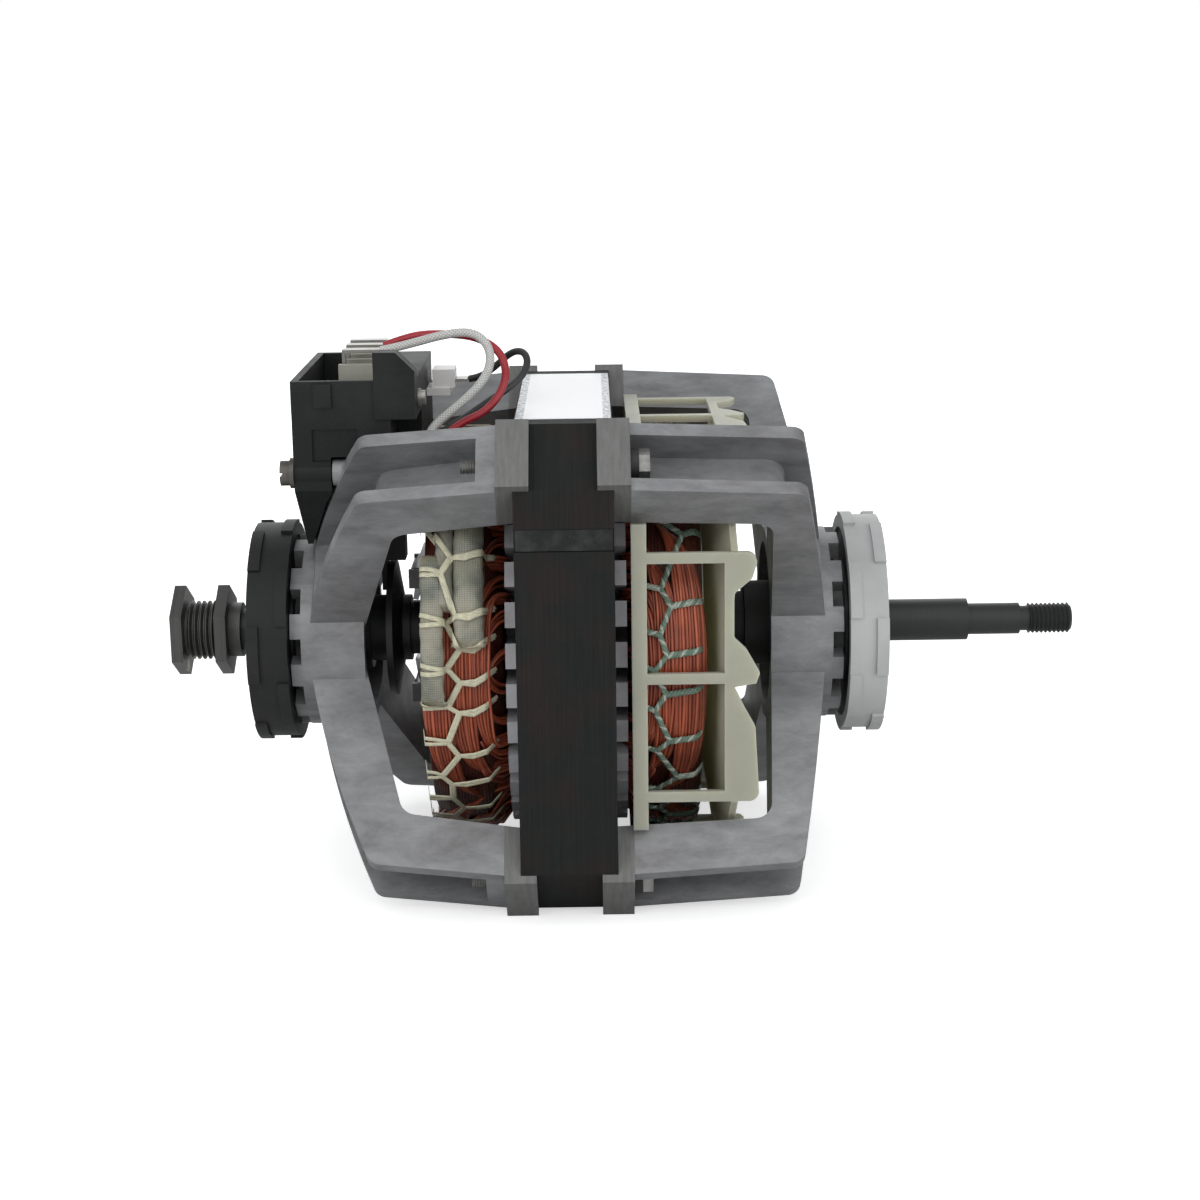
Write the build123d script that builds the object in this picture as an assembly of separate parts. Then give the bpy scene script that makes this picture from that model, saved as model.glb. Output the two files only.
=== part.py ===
# Dryer drive motor: a square four-pole motor with two die-cast end brackets, a belt pulley
# at one end and a stepped, threaded blower shaft at the other.
# Millimetres, +X along the shaft towards the blower end, +Z up, +Y away from the viewer.
# Pieces are placed from the stator's middle plane (x = 0); put() then moves them so that the
# origin is the centre of the shaft's blower shoulder.
import os
from math import acos, cos, degrees, hypot, pi, radians, sin, sqrt, tan

from build123d import *

# Stator stack
stack_length = 26.0
stack_half = 67.0            # half of the square's side
stack_corner = 84.1          # distance from the axis to each cut corner's flat
stator_bore_r = 36.5
slot_count = 32
slot_inner_r = 40.0
slot_outer_r = 56.0
tooth_width = 4.0
slot_mouth = 2.4
cleat_offset = 39.0          # each weld strip lies this far along its side
cleat_width = 6.0
cleat_depth = 1.6
cleat_gap = 0.2
liner_wall = 0.5
liner_clearance = 0.08
liner_proud = 3.2            # how far a slot liner's cuff stands out of the stack

# Windings
winding_start = 3.4          # the end turns start this far from the stack
winding_inner_r = 38.2
belt_winding_reach = 24.6    # from the stack face to the end of the end turns
blower_winding_reach = 23.4
turn_diameter = 1.15
turn_gap = 0.55
turn_count = 12
turn_radius = 57.2           # centre line of the outer layer of turns
turn_seat = 0.05
edge_round = 6.0             # rounding of the winding's outer edges
lace_width = 2.2
lace_thickness = 0.7
lace_count = 24
sleeve_places = [            # (x, first angle, last angle, radius), angles from +Y over +Z
    (-35.9, 162, 187, 2.5), (-31.4, 138, 160, 2.3), (-25.6, 138, 171, 2.7),
]

# Rotor
air_gap = 0.4
rotor_length = 27.0
end_ring_r = 33.0
end_ring_length = 5.0
fan_blade_length = 5.5
fan_blade_count = 8
fan_blade_thickness = 2.0

# Shaft
journal_r = 6.0
blower_r = 4.5
relief_r = 3.6
thread_r = 4.4
thread_pitch = 1.25
thread_depth = 0.65
shoulder_x = 115.4
relief_x = 130.6
thread_x = 133.5
tip_x = 145.6
belt_end_x = -113.0
fit_clearance = 0.02
running_clearance = 0.04

# Pulley for a five-ribbed belt
pulley_x0 = -113.4
flange_width = 3.3
flange_flats = 23.0
rib_count = 5
rib_pitch = 1.6
rib_crest_r = 8.5
rib_root_r = 7.2
pulley_neck_r = 6.45 + 1.4
pulley_neck_x = -94.2

# End brackets. An arm is a channel that opens outwards along a diagonal of the square.
# Its profile is given by distance along the shaft and distance out along the diagonal.
arm_half_width = 10.6
arm_flare = 2.1              # how much wider each side of an arm is at the hub
arm_wall = 3.8
arm_floor = 3.0
arm_drop = 10.1              # from a bolt's axis in to the arm's inner face
arm_start_gap = 0.06
block_reach = 4.4            # how far a corner block stands out from the stack
block_lap = 4.2              # how far a corner block laps over the stack
block_proud = 2.3
lap_gap = 0.05
hub_r = 27.5
hub_wall = 4.0
nose_r = 13.0
nose_bore_r = 9.0
tooth_ring_inner_r = 22.0
tooth_ring_count = 12
tooth_ring_length = 3.0
tooth_ring_width = 7.0

belt_hub_x0 = 56.5
belt_hub_x1 = 74.2
belt_knee = (53.2, 80.0)
belt_rim_mid = (63.4, 54.0)
belt_rim_end = (71.5, 24.0)
belt_window_corner = (45.0, 65.4)
belt_window_end = (56.6, 21.0)
belt_wall_length = 5.2       # the wall at the stack end that the bolts are screwed into
belt_nose_x = 88.0

blower_hub_x0 = 56.7
blower_hub_x1 = 74.0
blower_knee = (62.8, 81.2)
blower_rim_mid = (68.6, 47.0)
blower_rim_end = (72.0, 22.0)
blower_window_corner = (54.8, 68.2)
blower_window_end = (57.0, 21.0)
blower_nose_x = 88.4

# Resilient mount rings
ring_r = 31.75
ring_groove_r = 30.9
ring_inner_r = 27.4
cushion_inner_r = 17.5
ring_pad_width = 3.3
ring_pad_angle = 30.0
ring_pad_count = 6
belt_ring_x = (77.6, 88.8)
blower_ring_x = (78.5, 89.1)
cushion_inset = 0.8

# Bearings
bearing_length = 15.0
bearing_crown = 0.35
felt_r = 17.0
felt_length = 5.0
retainer_r = 19.0
retainer_thickness = 0.9
slinger_r = 10.5
slinger_thickness = 1.2
belt_cap_x = 51.8            # inner ends of the black caps that guard the bearings
belt_cap_r = 9.5
blower_cap_x = 45.0
blower_cap_r = 9.1
blower_cap_flange_x = 50.5
blower_cap_flange_r = 12.1
cap_bore_r = 6.6

# Through bolts
bolt_inset = 3.8             # from a cut corner's flat in to the bolt's axis
bolt_r = 2.0
bolt_hole_r = 2.25
bolt_tip_proud = 4.0         # how far a bolt's tip stands out of its threaded wall
bolt_thread_length = 12.0
bolt_thread_pitch = 0.7
bolt_thread_depth = 0.35
head_flats = 7.3
head_length = 2.8
washer_r = 4.2
washer_thickness = 2.2
thread_clearance = 0.03

# Air baffle
baffle_x0 = 17.3
baffle_bar = 4.0
baffle_gap = 1.225           # from the winding's outer turns to the baffle's inside
baffle_wall = 2.0
baffle_corner_outer = 72.6
baffle_corner_inner = 67.4
baffle_side_gap = 2.3        # clearance beside each bracket arm
baffle_lip_gap = 0.9         # clearance between a corner of the rim and the arm
strut_offset = 32.6
strut_half = 1.4
baffle_end_x = 51.0
panel_x0 = 41.7
panel_upper_cut = [(48.9, 27.0), (44.2, 23.0), (44.2, 11.0), (47.4, 7.9)]
panel_lower_cut = [(44.2, -2.4), (47.4, -8.9), (49.8, -13.3)]
panel_round = 1.6
panel_corner_round = 2.6
funnel_x0 = 37.6             # the funnel's narrow end
funnel_x1 = 43.6
funnel_r = 35.0
funnel_wall = 1.8
funnel_corner = 67.0

# Governor
governor_pivot_x = -42.5
governor_pivot_r = 17.0
governor_travel = 2.5
finger_length = 8.25
collar_x0 = -51.2
collar_x1 = -41.0
collar_r = 9.5
collar_disc_r = 19.5
collar_disc_thickness = 1.8
collar_groove_r = 7.8
collar_groove_width = 3.0
finger_thickness = 1.5
weight_half_width = 9.4
weight_reach = 6.3
weight_inner_r = 13.6
weight_outer_r = 23.0
governor_pin_r = 1.2
plate_x = -33.5
plate_thickness = 1.5
plate_half_length = 21.0
ear_thickness = 1.4
ear_gap = 0.35
governor_hub_r = 12.0
governor_hub_length = 2.6
spring_r = 7.4
spring_wire = 0.9
spring_turns = 3
spring_seat = 0.05

# Starting switch
switch_x0 = -72.4
switch_step_x = -50.2
switch_x1 = -39.2
switch_y0 = -38.0
switch_y1 = 25.0
switch_base_z = 56.5
switch_top_z = 77.0
switch_wall = 2.0
screen_top_z = 84.5          # the raised guard in front of the terminals
screen_thickness = 6.0
screen_proud = 0.8
screen_round = 5.0
notch_x = -46.0              # the corner cut away for the leads
notch_y = -18.0
notch_z = 66.5
skirt_x1 = -62.4
skirt_base_z = 28.2
skirt_base_half = 9.5
skirt_front_y = -15.0        # the front edge of the skirt's foot
skirt_knee_z = 47.5
skirt_arm_gap = 1.2
skirt_wall = 1.8
lever_x0 = -51.4
lever_x1 = -46.2
lever_pivot_z = 50.0
lever_half_width = 4.0
lever_disc_gap = 1.2         # from the collar's disc up to the lever's bar
lever_pad_z = 15.0
lever_pad_thickness = 1.6
lever_gap = 0.3
lever_pin_r = 1.2
screw_z = 52.0
screw_y = -35.2
screw_tube_r = 3.4
lug_r = 3.6
lug_x0 = -62.0
lug_x1 = -50.0
screw_reach = 8.0            # how far the screw goes into its lug
front_recess = (-67.2, -55.2, 55.4, 64.1)
front_pad = (-66.3, -61.6, 70.0, 76.3)
relief_depth = 0.7
lug_hole_r = 1.6
screw_head_r = 3.4
screw_washer_r = 4.1
clamp_y = -28.0              # the small lead clamp screw beside the notch
clamp_z = 71.0
clamp_screw_r = 1.4
clamp_head_r = 2.5
spade_width = 4.8
spade_thickness = 0.8
connector_z = 69.0
connector_reach = 8.0        # from the switch's end wall to the connector's far face
connector_height = 5.2
connector_y0 = 4.0
connector_y1 = 14.0
plug_reach = 6.6
plug_height = 2.0
plug_lip = 1.0               # how far the plug stands out beside the connector
blade_reach = 3.4
blade_width = 6.0
blade_rise = 1.4             # from the connector's base up to the blade
spade_length = 10.4
frame_inset = 11.0
frame_walls = (-20.0, -8.5, 3.0, 14.0)
frame_wall = 2.5
frame_floor = 3.0
leaf_thickness = 0.6
leaf_half_width = 5.0
protector_inset = 6.4
protector_y = -10.6
protector_r = 3.8
protector_height = 10.0

# Leads. Each route is a list of points in the stator's own frame.
white_lead_d = 2.4
red_lead_d = 2.2
black_lead_d = 2.0
white_route = [
    (-50.25, -14.25, 82.1), (-46.5, -14.3, 82.8), (-40.3, -15.2, 84.4), (-33.1, -16.4, 86.4),
    (-25.1, -18.6, 87.6), (-20.4, -21.0, 84.6), (-19.4, -22.8, 79.6), (-21.6, -24.6, 74.8),
    (-26.0, -26.2, 70.4), (-31.0, -27.6, 66.6), (-36.2, -30.6, 62.6), (-37.4, -35.0, 56.4),
    (-34.4, -40.0, 50.0), (-31.4, -45.2, 43.4),
]
red_route = [
    (-50.25, -2.75, 82.1), (-45.6, -3.2, 83.8), (-39.3, -4.6, 85.4), (-31.2, -7.4, 85.6),
    (-23.6, -10.4, 85.0), (-17.2, -13.6, 81.4), (-15.4, -16.8, 75.4), (-17.6, -19.8, 69.8),
    (-22.0, -22.4, 65.6), (-27.4, -24.4, 63.6), (-32.2, -28.4, 60.8), (-31.8, -33.6, 56.0),
    (-29.0, -38.6, 50.6), (-26.0, -43.6, 45.2),
]
black_route = [
    (-27.3, 9.0, 70.8), (-23.9, 8.2, 71.4), (-19.7, 5.6, 74.6), (-14.8, 1.4, 79.4),
    (-11.2, -2.6, 80.0), (-9.8, -6.2, 77.4), (-11.6, -9.6, 73.6), (-16.2, -12.8, 70.4),
    (-21.8, -15.6, 67.2), (-27.2, -18.4, 63.8), (-32.6, -21.0, 61.0), (-37.2, -22.6, 58.2),
]

# Derived places
lever_pivot_x = (lever_x0 + lever_x1) / 2
frame_x0 = switch_x0 + frame_inset
stack_face = stack_length / 2
block_end = stack_face + block_reach
bolt_u = stack_corner - bolt_inset
bolt_tip_x = -(block_end + belt_wall_length + bolt_tip_proud)
arm_inner_u = bolt_u - arm_drop
baffle_half = turn_radius + turn_diameter / 2 + baffle_gap + baffle_wall
origin_x = shoulder_x
root2 = sqrt(2)


def along_x(radius, x0, x1, inner=0.0):
    """A cylinder, or a tube, along the shaft from x0 to x1."""
    length = abs(x1 - x0)
    body = Cylinder(radius, length)
    if inner > 0:
        body -= Cylinder(inner, length + 2)
    return Pos((x0 + x1) / 2, 0, 0) * Rot(0, 90, 0) * body


def turned(points):
    """A solid turned about the shaft from (x, radius) points."""
    return revolve(make_face(Polyline(*points, close=True)), Axis.X)


def block(x0, x1, y0, y1, z0, z1):
    """A box from its limits."""
    centre = Pos((x0 + x1) / 2, (y0 + y1) / 2, (z0 + z1) / 2)
    return centre * Box(abs(x1 - x0), abs(y1 - y0), abs(z1 - z0))


def side_face(points):
    """A face in the plane of the shaft and +Z from (x, z) points."""
    return make_face(Polyline(*[(x, 0, z) for x, z in points], close=True))


def end_face(points, x):
    """A face square to the shaft at x from (y, z) points."""
    return make_face(Polyline(*[(x, y, z) for y, z in points], close=True))


def round_x(angle, shape):
    """The shape turned about the shaft; 45 degrees takes +Z to the upper front corner."""
    return Rot(angle, 0, 0) * shape


corner_angles = [45, 135, 225, 315]


def thread_profile(x0, x1, radius, depth, pitch):
    """(x, radius) points of a threaded surface from x0 to x1."""
    points = [(x0, radius)]
    count = int((x1 - x0) / pitch)
    for i in range(count):
        start = x0 + i * pitch
        points += [(start + pitch * 0.5, radius - depth), (start + pitch, radius)]
    points.append((x1, radius - depth))
    return points


saved = {}


def put(node, solids):
    """Moves a piece to the shoulder's frame and writes its STEP file."""
    group = solids if isinstance(solids, list) else [solids]
    pieces = [s for shape in group for s in shape.solids()]
    shape = pieces[0] if len(pieces) == 1 else Compound(children=pieces)
    placed = Pos(-origin_x, 0, 0) * shape
    saved[node] = placed
    export_step(placed, f"parts/{node}.step")


# Stator

def slot_points(margin, inner, outer):
    """The cross-section of a slot, centred on +Z, less a margin all round."""
    inner_half = (2 * pi * inner / slot_count - tooth_width) / 2 - margin
    outer_half = (2 * pi * outer / slot_count - tooth_width) / 2 - margin
    return [(-inner_half, inner + margin), (inner_half, inner + margin),
            (outer_half, outer - margin), (-outer_half, outer - margin)]


def slot_prism(margin, half_length):
    face = end_face(slot_points(margin, slot_inner_r, slot_outer_r), -half_length)
    return extrude(face, 2 * half_length, dir=(1, 0, 0))


slot_angles = [(i + 0.5) * 360 / slot_count for i in range(slot_count)]


def square_stack(half, corner, half_length):
    """The lamination's outline: a square with its corners cut on the diagonals."""
    cut = corner * root2 - half
    outline = [(-half, -cut), (-cut, -half), (cut, -half), (half, -cut),
               (half, cut), (cut, half), (-cut, half), (-half, cut)]
    return extrude(end_face(outline, -half_length), 2 * half_length, dir=(1, 0, 0))


def stator_core():
    core = square_stack(stack_half, stack_corner, stack_face)
    core -= along_x(stator_bore_r, -stack_length, stack_length)
    mouth = block(-stack_length, stack_length, -slot_mouth / 2, slot_mouth / 2,
                  stator_bore_r - 1, slot_inner_r + 1)
    slots = [round_x(a, slot_prism(0, stack_length)) for a in slot_angles]
    slots += [round_x(a, mouth) for a in slot_angles]
    groove = block(-stack_length, stack_length, cleat_offset - cleat_width / 2,
                   cleat_offset + cleat_width / 2, stack_half - cleat_depth, stack_half + 1)
    grooves = [round_x(90 * i, groove) for i in range(4)]
    hole = Pos(0, 0, bolt_u) * along_x(bolt_hole_r, -stack_length, stack_length)
    holes = [round_x(a, hole) for a in corner_angles]
    return core - slots - grooves - holes


def stator_cleats():
    low = stack_half - cleat_depth + fit_clearance
    bar = block(-stack_face + 0.4, stack_face - 0.4,
                cleat_offset - cleat_width / 2 + cleat_gap,
                cleat_offset + cleat_width / 2 - cleat_gap, low, low + cleat_depth * 0.7)
    return [round_x(90 * i, bar) for i in range(4)]


def slot_liners():
    half = stack_face + liner_proud
    liner = slot_prism(liner_clearance, half) - slot_prism(liner_clearance + liner_wall, half + 1)
    return [round_x(a, liner) for a in slot_angles]


# Windings

def winding_ring(reach, side):
    """The body of the end turns on one side, with rounded outer edges."""
    near = stack_face + winding_start
    far = stack_face + reach
    outer = turn_radius - turn_diameter / 2 - turn_seat
    shoulder = edge_round * 0.6
    points = [(near, winding_inner_r), (near, outer), (far - shoulder, outer),
              (far - shoulder * 0.25, outer - shoulder * 0.4), (far, outer - shoulder * 1.3),
              (far, winding_inner_r + 2), (far - 2, winding_inner_r)]
    return turned([(side * x, r) for x, r in points])


def stator_winding():
    body = winding_ring(belt_winding_reach, -1) + winding_ring(blower_winding_reach, 1)
    inside = liner_clearance + liner_wall + fit_clearance
    legs = [round_x(a, slot_prism(inside, stack_face + winding_start + 1)) for a in slot_angles]
    return body + legs


def helix_point(radius, pitch, angle):
    """A point of a helix about +Z and the direction of travel there."""
    place = Vector(radius * cos(angle), radius * sin(angle), pitch * angle / (2 * pi))
    heading = Vector(-radius * sin(angle), radius * cos(angle), pitch / (2 * pi)).normalized()
    return place, heading


def arc_between(start, heading, end):
    """The arc that leaves start along heading and ends at end."""
    chord = end - start
    length = chord.length
    half = acos(max(-1.0, min(1.0, heading.dot(chord) / length)))
    middle = (start + end) * 0.5
    side = (chord.normalized() * heading.dot(chord.normalized()) - heading).normalized()
    rise = length / 2 * tan(half / 2)
    return ThreePointArc(start, middle - side * rise, end)


def biarc(start, heading, end, end_heading):
    """Two arcs that join two points with the given directions."""
    chord = end - start
    total = heading + end_heading
    a = 2 * (1 - heading.dot(end_heading))
    b = 2 * chord.dot(total)
    c = -chord.dot(chord)
    reach = (-b + sqrt(b * b - 4 * a * c)) / (2 * a)
    joint = (start + end + (heading - end_heading) * reach) * 0.5
    leaving = (joint - (start + heading * reach)).normalized()
    return [arc_between(start, heading, joint), arc_between(joint, leaving, end)]


def wound_wire(radius, pitch, turns, lead_length):
    """The centre line of a coil about +Z, in biarcs of a quarter turn with straight ends."""
    first, first_heading = helix_point(radius, pitch, 0)
    last, last_heading = helix_point(radius, pitch, turns * 2 * pi)
    edges = [Line(first - first_heading * lead_length, first)]
    for i in range(turns * 4):
        start, heading = helix_point(radius, pitch, i * pi / 2)
        end, end_heading = helix_point(radius, pitch, (i + 1) * pi / 2)
        edges += biarc(start, heading, end, end_heading)
    edges.append(Line(last, last + last_heading * lead_length))
    return Wire(edges)


def coil_tube(radius, pitch, turns, wire_diameter):
    """One unbroken round wire wound in a coil about +Z."""
    path = wound_wire(radius, pitch, turns, wire_diameter)
    start, heading = helix_point(radius, pitch, 0)
    start -= heading * wire_diameter
    section = Plane(origin=start, z_dir=heading) * Circle(wire_diameter / 2)
    return sweep(section, path=path)


def least_gap(radius, pitch, turns, wire_diameter):
    """The smallest gap between neighbouring turns, measured on points of the centre line."""
    path = wound_wire(radius, pitch, turns, wire_diameter)
    per_turn = 360
    points = [path.position_at(i / (turns * per_turn)) for i in range(turns * per_turn + 1)]
    gaps = []
    for i, p in enumerate(points):
        near = points[i + per_turn - 30:i + per_turn + 30]
        gaps += [(p - q).length for q in near]
    return min(gaps) - wire_diameter


def winding_turns(reach, side):
    pitch = turn_diameter + turn_gap
    length = pitch * turn_count
    coil = coil_tube(turn_radius, pitch, turn_count, turn_diameter)
    start = stack_face + winding_start + (reach - winding_start - edge_round * 0.6 - length) / 2
    along = Rot(0, 90, 0) * coil
    if side > 0:
        return Pos(start, 0, 0) * along
    return Pos(-start - length, 0, 0) * along


def lacing(reach, side):
    """Flat cords over the end turns, one across every few slots."""
    near = stack_face + winding_start + 2
    far = stack_face + reach - edge_round * 0.6
    low = turn_radius + turn_diameter / 2 + 0.05
    strap = block(side * near, side * far, -lace_width / 2, lace_width / 2,
                  low, low + lace_thickness)
    return [round_x(i * 360 / lace_count, strap) for i in range(lace_count)]


def lead_sleeves():
    """Woven tubes over the soldered lead joints, laid on the belt-side end turns."""
    low = turn_radius + turn_diameter / 2 + lace_thickness + 0.2
    sleeves = []
    for x, first, last, radius in sleeve_places:
        tube = revolve(Plane.XY * Pos(x, low + radius) * Circle(radius), Axis.X, last - first)
        sleeves.append(Rot(first, 0, 0) * tube)
    return sleeves


# Rotor

def rotor_core():
    radius = stator_bore_r - air_gap
    return along_x(radius, -rotor_length / 2, rotor_length / 2, journal_r + fit_clearance)


def rotor_end_ring(side):
    """A cast ring with fan blades that closes one end of the rotor cage."""
    x0 = rotor_length / 2 + fit_clearance
    x1 = x0 + end_ring_length
    ring = along_x(end_ring_r, side * x0, side * x1, end_ring_r - 9)
    blade = block(side * (x1 - 0.5), side * (x1 + fan_blade_length),
                  -fan_blade_thickness / 2, fan_blade_thickness / 2, end_ring_r - 8, end_ring_r - 1)
    return ring + [round_x(i * 360 / fan_blade_count, blade) for i in range(fan_blade_count)]


def shaft():
    chamfer_size = 0.8
    points = [(belt_end_x, 0), (belt_end_x, journal_r - chamfer_size),
              (belt_end_x + chamfer_size, journal_r), (shoulder_x, journal_r),
              (shoulder_x, blower_r), (relief_x, blower_r), (relief_x, relief_r),
              (thread_x, relief_r)]
    points += thread_profile(thread_x, tip_x - 0.4, thread_r, thread_depth, thread_pitch)
    points += [(tip_x, thread_r - thread_depth - 0.3), (tip_x, 0)]
    return turned(points)


def pulley():
    bore = journal_r + fit_clearance
    x0 = pulley_x0
    ribs_x0 = x0 + flange_width + 0.6
    ribs_x1 = ribs_x0 + rib_count * rib_pitch
    x1 = ribs_x1 + 0.6 + flange_width
    points = [(x0, bore), (x0, rib_root_r), (ribs_x0, rib_root_r)]
    for i in range(rib_count):
        start = ribs_x0 + i * rib_pitch
        points += [(start + rib_pitch * 0.1, rib_root_r), (start + rib_pitch * 0.45, rib_crest_r),
                   (start + rib_pitch * 0.6, rib_crest_r), (start + rib_pitch * 0.95, rib_root_r)]
    points += [(x1, rib_root_r), (x1, pulley_neck_r), (pulley_neck_x, pulley_neck_r),
               (pulley_neck_x, bore)]
    body = turned(points)
    flange = Rot(0, 90, 0) * extrude(RegularPolygon(flange_flats / 2, 6, major_radius=False),
                                     flange_width)
    hole = along_x(bore, x0 - 1, x1 + 1)
    for start in (x0, x1 - flange_width):
        body += Pos(start, 0, 0) * flange - hole
    return body


# End brackets

def fillet_profile(points, rounds):
    """A closed (x, z) outline whose chosen corners are rounded: rounds maps index to radius."""
    face = side_face(points)
    for index, radius in rounds.items():
        x, z = points[index]
        corner = face.vertices().sort_by_distance((x, 0, z))[0]
        face = fillet(corner, radius)
    return face


def arm_profile(knee, rim_mid, rim_end, window_corner, window_end):
    """The side view of an arm, with its curved rim, before its channel is cut."""
    start = stack_face + arm_start_gap
    bottom = Polyline((rim_end[0], 0, rim_end[1]), (window_end[0], 0, window_end[1]),
                      (window_corner[0], 0, window_corner[1]), (start, 0, arm_inner_u),
                      (start, 0, stack_corner + 0.3), (knee[0], 0, knee[1]))
    rim = ThreePointArc((knee[0], 0, knee[1]), (rim_mid[0], 0, rim_mid[1]),
                        (rim_end[0], 0, rim_end[1]))
    face = make_face([*bottom.edges(), rim])
    knee_corner = face.vertices().sort_by_distance((knee[0], 0, knee[1]))[0]
    face = fillet(knee_corner, 4.0)
    window = face.vertices().sort_by_distance((window_corner[0], 0, window_corner[1]))[0]
    return fillet(window, 5.0)


def arm_half_at(u):
    """An arm's half-width at a distance u out along its diagonal."""
    return arm_half_width + arm_flare * (stack_corner - u) / (stack_corner - hub_r)


def arm_width_prism(half_outer, flare, length):
    """A long bar whose width grows towards the shaft, to trim an arm's sides."""
    high = 2 * stack_corner
    slope = flare / (stack_corner - hub_r)
    half_high = half_outer - slope * (high - stack_corner)
    half_low = half_outer + slope * stack_corner
    outline = [(-half_high, high), (half_high, high), (half_low, 0), (-half_low, 0)]
    return extrude(end_face(outline, -1), length, dir=(1, 0, 0))


def arm(knee, rim_mid, rim_end, window_corner, window_end, wall_length):
    """One channel arm, drawn with its diagonal along +Z and the stack at x = 0."""
    profile = arm_profile(knee, rim_mid, rim_end, window_corner, window_end)
    reach = 2 * arm_half_width
    solid = extrude(profile, reach, dir=(0, 1, 0), both=True)
    solid &= arm_width_prism(arm_half_width, arm_flare, tip_x)
    floor_start = block_end + wall_length
    slope = (window_end[0] - window_corner[0]) / (window_corner[1] - window_end[1])
    floor_corner = (window_corner[0] + arm_floor + 0.6, window_corner[1] + arm_floor)
    floor_end_z = hub_r + 3
    floor_end = (floor_corner[0] + slope * (floor_corner[1] - floor_end_z), floor_end_z)
    pocket_outline = [(floor_start, arm_inner_u + arm_floor), floor_corner, floor_end,
                      (tip_x, floor_end_z), (tip_x, 2 * stack_corner),
                      (floor_start, 2 * stack_corner)]
    pocket = extrude(fillet_profile(pocket_outline, {1: 6.0}), reach, dir=(0, 1, 0), both=True)
    pocket &= arm_width_prism(arm_half_width - arm_wall, arm_flare, tip_x)
    solid -= pocket
    corner = block(stack_face + arm_start_gap, block_end, -arm_half_width, arm_half_width,
                   arm_inner_u, stack_corner + block_proud)
    lap = block(stack_face - block_lap, block_end, -arm_half_width, arm_half_width,
                stack_corner + lap_gap, stack_corner + block_proud)
    return solid + corner + lap


def hub(x0, x1, nose_x):
    """The round hub with its bearing nose and the ring of teeth that stops the mount turning."""
    body = along_x(hub_r, x0, x1) + along_x(nose_r, x1 - 1, nose_x)
    teeth_bar = block(x1 - 0.5, x1 + tooth_ring_length, -tooth_ring_width / 2,
                      tooth_ring_width / 2, tooth_ring_inner_r, hub_r + 2)
    teeth = [round_x((i + 0.5) * 360 / tooth_ring_count, teeth_bar)
             for i in range(tooth_ring_count)]
    trim = along_x(hub_r - 0.2, x1 - 1, x1 + tooth_ring_length + 1)
    return body + [tooth & trim for tooth in teeth]


def bracket(knee, rim_mid, rim_end, window_corner, window_end, wall_length, hub_x0, hub_x1,
            nose_x, hole_r):
    """A whole end bracket on the +X side of the stack."""
    one_arm = arm(knee, rim_mid, rim_end, window_corner, window_end, wall_length)
    body = hub(hub_x0, hub_x1, nose_x) + [round_x(a, one_arm) for a in corner_angles]
    cavity = along_x(hub_r - hub_wall, hub_x0 - 5, hub_x1 - hub_wall)
    bore = along_x(nose_bore_r, hub_x0, nose_x + 1)
    hole = Pos(0, 0, bolt_u) * along_x(hole_r, stack_face - block_lap - 1,
                                       block_end + wall_length + 1)
    return body - cavity - bore - [round_x(a, hole) for a in corner_angles]


def belt_bracket():
    made = bracket(belt_knee, belt_rim_mid, belt_rim_end, belt_window_corner, belt_window_end,
                   belt_wall_length, belt_hub_x0, belt_hub_x1, belt_nose_x,
                   bolt_r + thread_clearance)
    hole = Pos(0, screw_y, screw_z) * along_x(lug_hole_r, lug_x0 - 1, lug_x0 + screw_reach + 1)
    return mirror(made, Plane.YZ) + switch_lug() - hole


def switch_lug():
    """A round lug on the upper front arm that the switch is screwed to."""
    lug = along_x(lug_r, lug_x0, lug_x1) - along_x(lug_hole_r, lug_x0 - 1,
                                                   lug_x0 + screw_reach + 1)
    return Pos(0, screw_y, screw_z) * lug


def blower_bracket():
    return bracket(blower_knee, blower_rim_mid, blower_rim_end, blower_window_corner,
                   blower_window_end, 0, blower_hub_x0, blower_hub_x1, blower_nose_x,
                   bolt_hole_r)


# Mount rings

def ring_pad(x0, x1, angle):
    """One raised pad on the ring's rim, centred at an angle."""
    half = radians(ring_pad_angle / 2)
    reach = ring_r * 1.2
    wedge = end_face([(0, 0), (reach * sin(half), reach * cos(half)),
                      (-reach * sin(half), reach * cos(half))], x0)
    band = along_x(ring_r, x0, x1, ring_groove_r - 0.5)
    return round_x(angle, extrude(wedge, x1 - x0, dir=(1, 0, 0)) & band)


def mount_ring(x0, x1):
    """The outer ring, whose two rims carry pads in turn."""
    ring = along_x(ring_groove_r, x0, x1, ring_inner_r)
    step = 360 / ring_pad_count
    for i in range(ring_pad_count):
        ring += ring_pad(x0, x0 + ring_pad_width, (i + 0.5) * step - 90)
        ring += ring_pad(x1 - ring_pad_width, x1, i * step - 90)
    return ring


def mount_cushion(x0, x1):
    outer = ring_inner_r - fit_clearance
    return along_x(outer, x0 + cushion_inset, x1 - cushion_inset, cushion_inner_r)


def mount_sleeve(x0, x1, nose_x):
    far = min(x1, nose_x)
    return along_x(cushion_inner_r - fit_clearance, x0, far, nose_r + fit_clearance)


# Bearings

def bearing(nose_x):
    """A crowned bronze sleeve that can settle in its seat."""
    x1 = nose_x - 0.6
    x0 = x1 - bearing_length
    outer = nose_bore_r - fit_clearance
    points = [(x0, journal_r + running_clearance), (x0, outer - bearing_crown),
              (x0 + bearing_length / 3, outer), (x1 - bearing_length / 3, outer),
              (x1, outer - bearing_crown), (x1, journal_r + running_clearance)]
    return turned(points)


def oil_felt(hub_x1):
    x1 = hub_x1 - hub_wall - fit_clearance
    return along_x(felt_r, x1 - felt_length, x1, journal_r + 0.6)


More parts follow.
